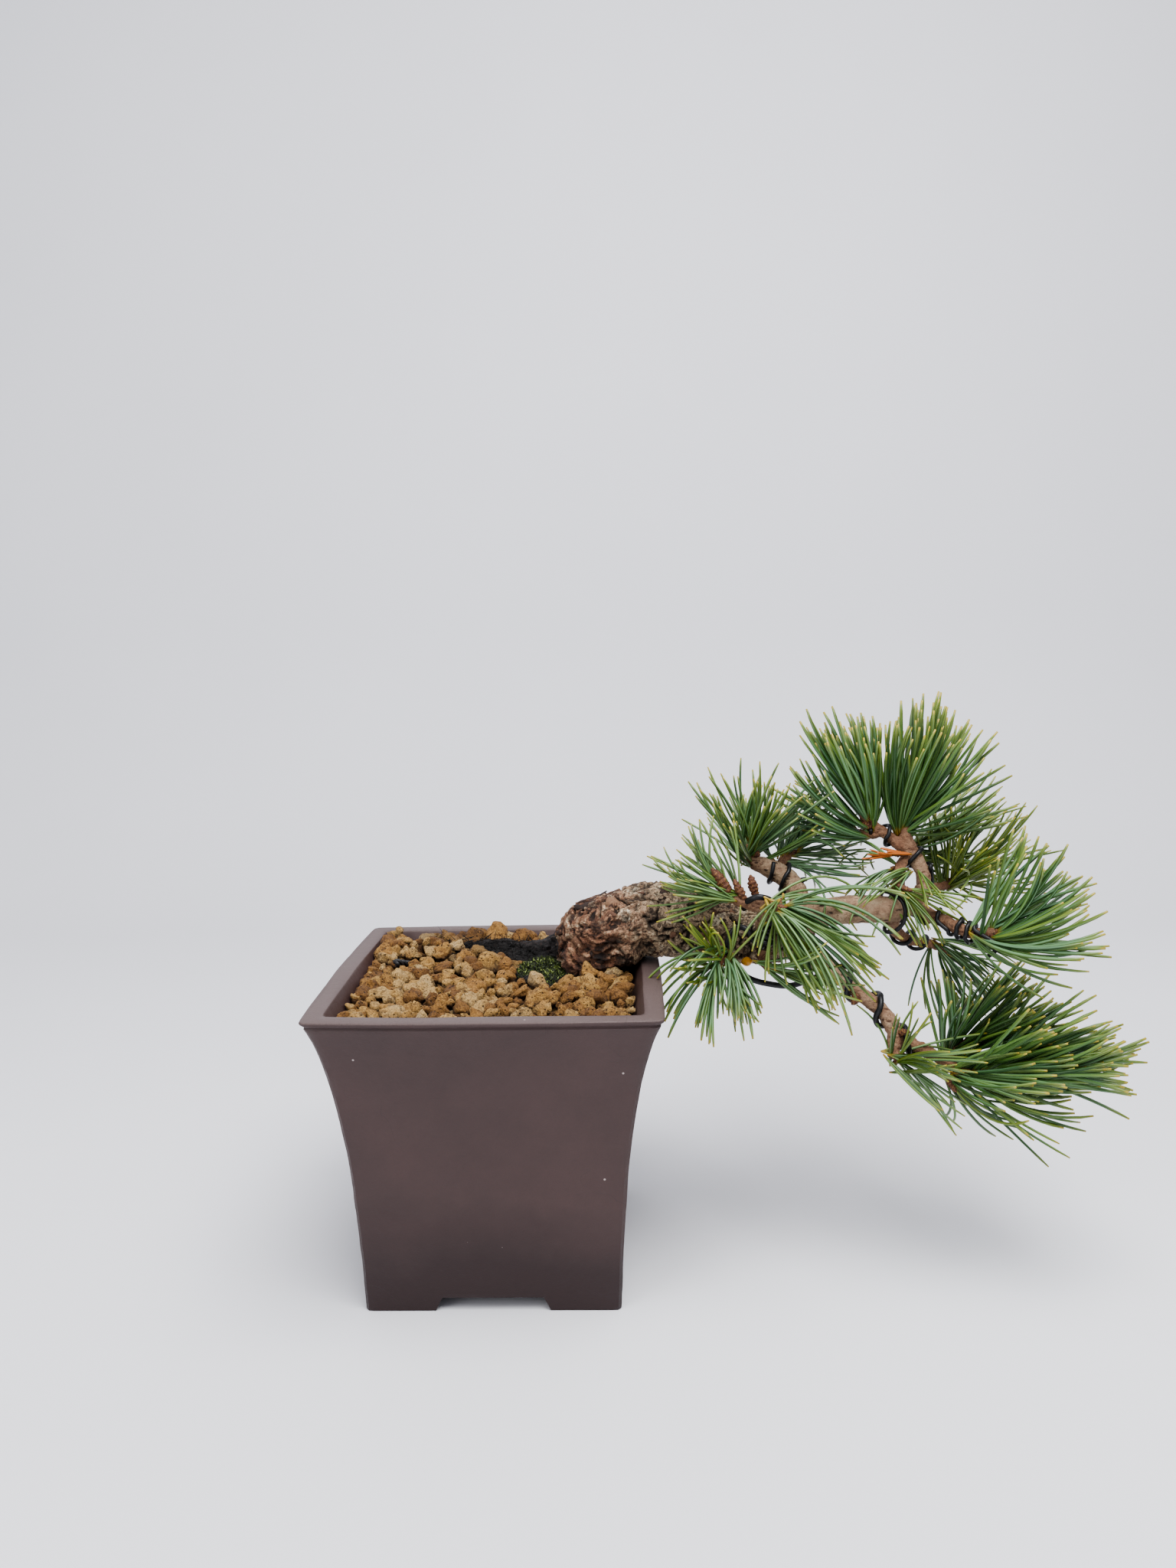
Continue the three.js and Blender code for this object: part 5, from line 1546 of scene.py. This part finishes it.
def make_moss(count=2600, seed=41):
    """Leaves that stand on an oval cushion, even in area, each leaning its own way."""
    dice = np.random.default_rng(seed)
    angle, out = dice.uniform(0, 2 * np.pi, count), np.sqrt(dice.uniform(0, 1, count))
    x, y = 17 + 11 * out * np.cos(angle), 9.5 + 13 * out * np.sin(angle)
    z = 102.4 + 0.11 * (y - 2) + 0.8 * (1 - out**2) + 0.7 * noise(np.stack([x, y, 0 * x], 1), 3.0, 91)
    lean_x, lean_y = 0.8 * dice.normal(size=count), 0.8 * dice.normal(size=count)
    direction = unit(np.stack([lean_x, lean_y, np.ones(count)], 1))
    length = dice.uniform(0.6, 1.5, count)
    points, quads, caps, _ = blades(np.stack([x, y, z], 1), direction, length, np.full(count, 0.24), dice)
    tone = np.repeat(dice.uniform(0, 1, count), len(points) // count)
    return make_piece("moss_leaves", points, [quads, caps], MOSS, "moss", ["moss"], False, {"tone": tone})


moss = make_moss()
print("moss:", len(moss.data.polygons), "faces")

# %% [markdown]
# ## Hidden pieces
# The soil and the netting over the drain hole lie out of sight, so they keep their CAD shape and only get
# their finishes.

# %% hidden pieces
SOIL = peat_finish("soil")


def netting_finish():
    net = Recipe("netting", 0.6)
    fine = net.grain(800.0, 3.0)
    colour = net.ramp(fine, [(0.3, (0.012, 0.018, 0.013)), (0.7, (0.03, 0.04, 0.03))])
    return net.finish(colour, None, net.bump(fine, 0.0002, 0.3))


for node_name, node_finish in (("soil", SOIL), ("drain_mesh", netting_finish())):
    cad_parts[node_name].data.materials.clear()
    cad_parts[node_name].data.materials.append(node_finish)
print("soil and drain mesh keep their CAD shape")

# %% [markdown]
# ## Buds
# Every shoot ends in brown bud scales from which the needles come. A bud is a short spindle whose rings step
# in and out like overlapping scales.

# %% buds


def bud_finish():
    bud = Recipe("bud_scales", 0.65)
    fine = bud.grain(1500.0, 4.0, 0.65)
    colour = bud.ramp(
        fine,
        [(0.3, (0.03, 0.01, 0.007)), (0.52, (0.12, 0.04, 0.018)), (0.75, (0.33, 0.19, 0.05))],
    )
    return bud.finish(colour, None, bud.bump(fine, 0.0005, 0.7))


# Scaly candles that stand between the needles: foot, tip and half width.
CANDLES = [
    ((84.7, -13, 136.6), (77.6, -13, 147.2), 2.1), ((89.7, -14, 134.5), (85.1, -14, 143.5), 1.5),
    ((93.5, -12, 135.5), (91.2, -12, 144.6), 1.7), ((140.5, 10, 157.5), (133, 10, 158.5), 1.7),
    ((98, 12, 146), (93.4, 11, 149.5), 1.8), ((142.3, -18, 88), (146, -22, 90), 1.3),
    ((130, -11, 100), (127.5, -13.5, 97), 1.6), ((160, 18, 111.5), (168.5, 19, 108.8), 1.7),
]


def make_buds():
    """Spindles along each tuft's aim and along the candles: the radius swells and falls, with a saw-tooth of
    scales on it, and the scales' edges are shifted round the bud so that they overlap like tiles."""
    share = np.linspace(0, 1, 28)
    body = np.sin(np.pi * np.clip(share * 0.93 + 0.05, 0, 1)) ** 0.7
    body = body * (1 + 0.34 * ((share * 7) % 1 - 0.5))
    paths, radii = [], []
    for fans in TUFTS.values():
        for base, aim, _, _, _, half_width, *_ in fans:
            axis = unit(np.array(aim, float))
            paths.append(np.array(base, float) + axis * (-4.5 + 7.5 * share[:, None]))
            radii.append(2.3 * half_width * body)
    for foot, tip, half_width in CANDLES:
        paths.append(np.array(foot) + share[:, None] * (np.array(tip) - foot))
        radii.append(half_width * body)
    points, quads, caps, _ = tubes(np.array(paths), np.array(radii), 12)
    points = points + 0.3 * wander(points, 0.9, 95)
    return make_piece("buds", points, [quads, caps], bud_finish(), "bark")


def make_resin():
    """A drop of resin under the trunk: a ball pulled out a little downwards."""
    resin = Recipe("resin", 0.25)
    resin.shader.inputs["Base Color"].default_value = (0.6, 0.27, 0.02, 1)
    resin.shader.inputs["Subsurface Weight"].default_value = 0.3
    resin.shader.inputs["Subsurface Scale"].default_value = 0.001
    finish = resin.finish(None, None, resin.bump(resin.grain(600.0, 2.0), 0.0002, 0.4))
    points, faces = ball_grid(3)
    points = points * [2.0, 1.5, 1.5] + [90.6, -8.6, 111.9]
    points = points + 0.35 * wander(points, 1.6, 97)
    return make_piece("resin_drop", points, [faces], finish, "bark")


make_resin()
buds = make_buds()
print("buds:", len(buds.data.polygons), "faces")

# %% [markdown]
# ## Floor and light
# A pale floor runs back and curves up into a pale wall. The light is soft: a wide panel above in front, a
# weaker one from the left and an even pale sky.

# %% floor


def floor_finish():
    floor = Recipe("floor", 0.85)
    cloud = floor.grain(3.0, 3.0)
    return floor.finish(floor.ramp(cloud, [(0.3, (0.71, 0.71, 0.735)), (0.7, (0.735, 0.735, 0.76))]))


def make_floor():
    """A sheet level at the front whose back rises in a quarter circle to a wall."""
    bend = 0.25
    turn = np.linspace(0, np.pi / 2, 16)
    back = 0.45
    run = np.concatenate([[-2.0, -1.0, 0.0], back + bend * np.sin(turn), [back + bend]])
    rise = np.concatenate([[0.0, 0.0, 0.0], bend - bend * np.cos(turn), [2.5]])
    side = np.array([-2.5, 2.5])
    points = np.stack([np.tile(side, len(run)), np.repeat(run, 2), np.repeat(rise, 2)], -1)
    mesh = bpy.data.meshes.new("floor")
    mesh.from_pydata(points.tolist(), [], grid_faces(len(run), 2, closed=False).tolist())
    mesh.polygons.foreach_set("use_smooth", np.full(len(mesh.polygons), True))
    mesh.materials.append(floor_finish())
    floor = bpy.data.objects.new("floor", mesh)
    bpy.context.scene.collection.objects.link(floor)


def make_light(name, place, aim, size, power):
    """A square soft panel of light that faces a point."""
    data = bpy.data.lights.new(name, "AREA")
    data.size = size
    data.energy = power
    light = bpy.data.objects.new(name, data)
    light.location = place
    light.rotation_euler = (Vector(aim) - Vector(place)).to_track_quat("-Z", "Y").to_euler()
    bpy.context.scene.collection.objects.link(light)


def make_sky(colour, strength):
    world = bpy.data.worlds.new("sky")
    world.use_nodes = True
    back = world.node_tree.nodes["Background"]
    back.inputs["Color"].default_value = (*colour, 1)
    back.inputs["Strength"].default_value = strength
    bpy.context.scene.world = world


make_floor()
make_light("top_panel", (0.15, -0.3, 1.0), (0.0, 0.0, 0.1), 0.7, 15.0)
make_light("left_panel", (-0.9, -0.7, 0.6), (0.0, 0.0, 0.1), 0.6, 5.0)
make_sky((0.9, 0.92, 1.0), 0.72)
bpy.context.scene.view_settings.look = "AgX - Medium High Contrast"
print("floor and lights are set")
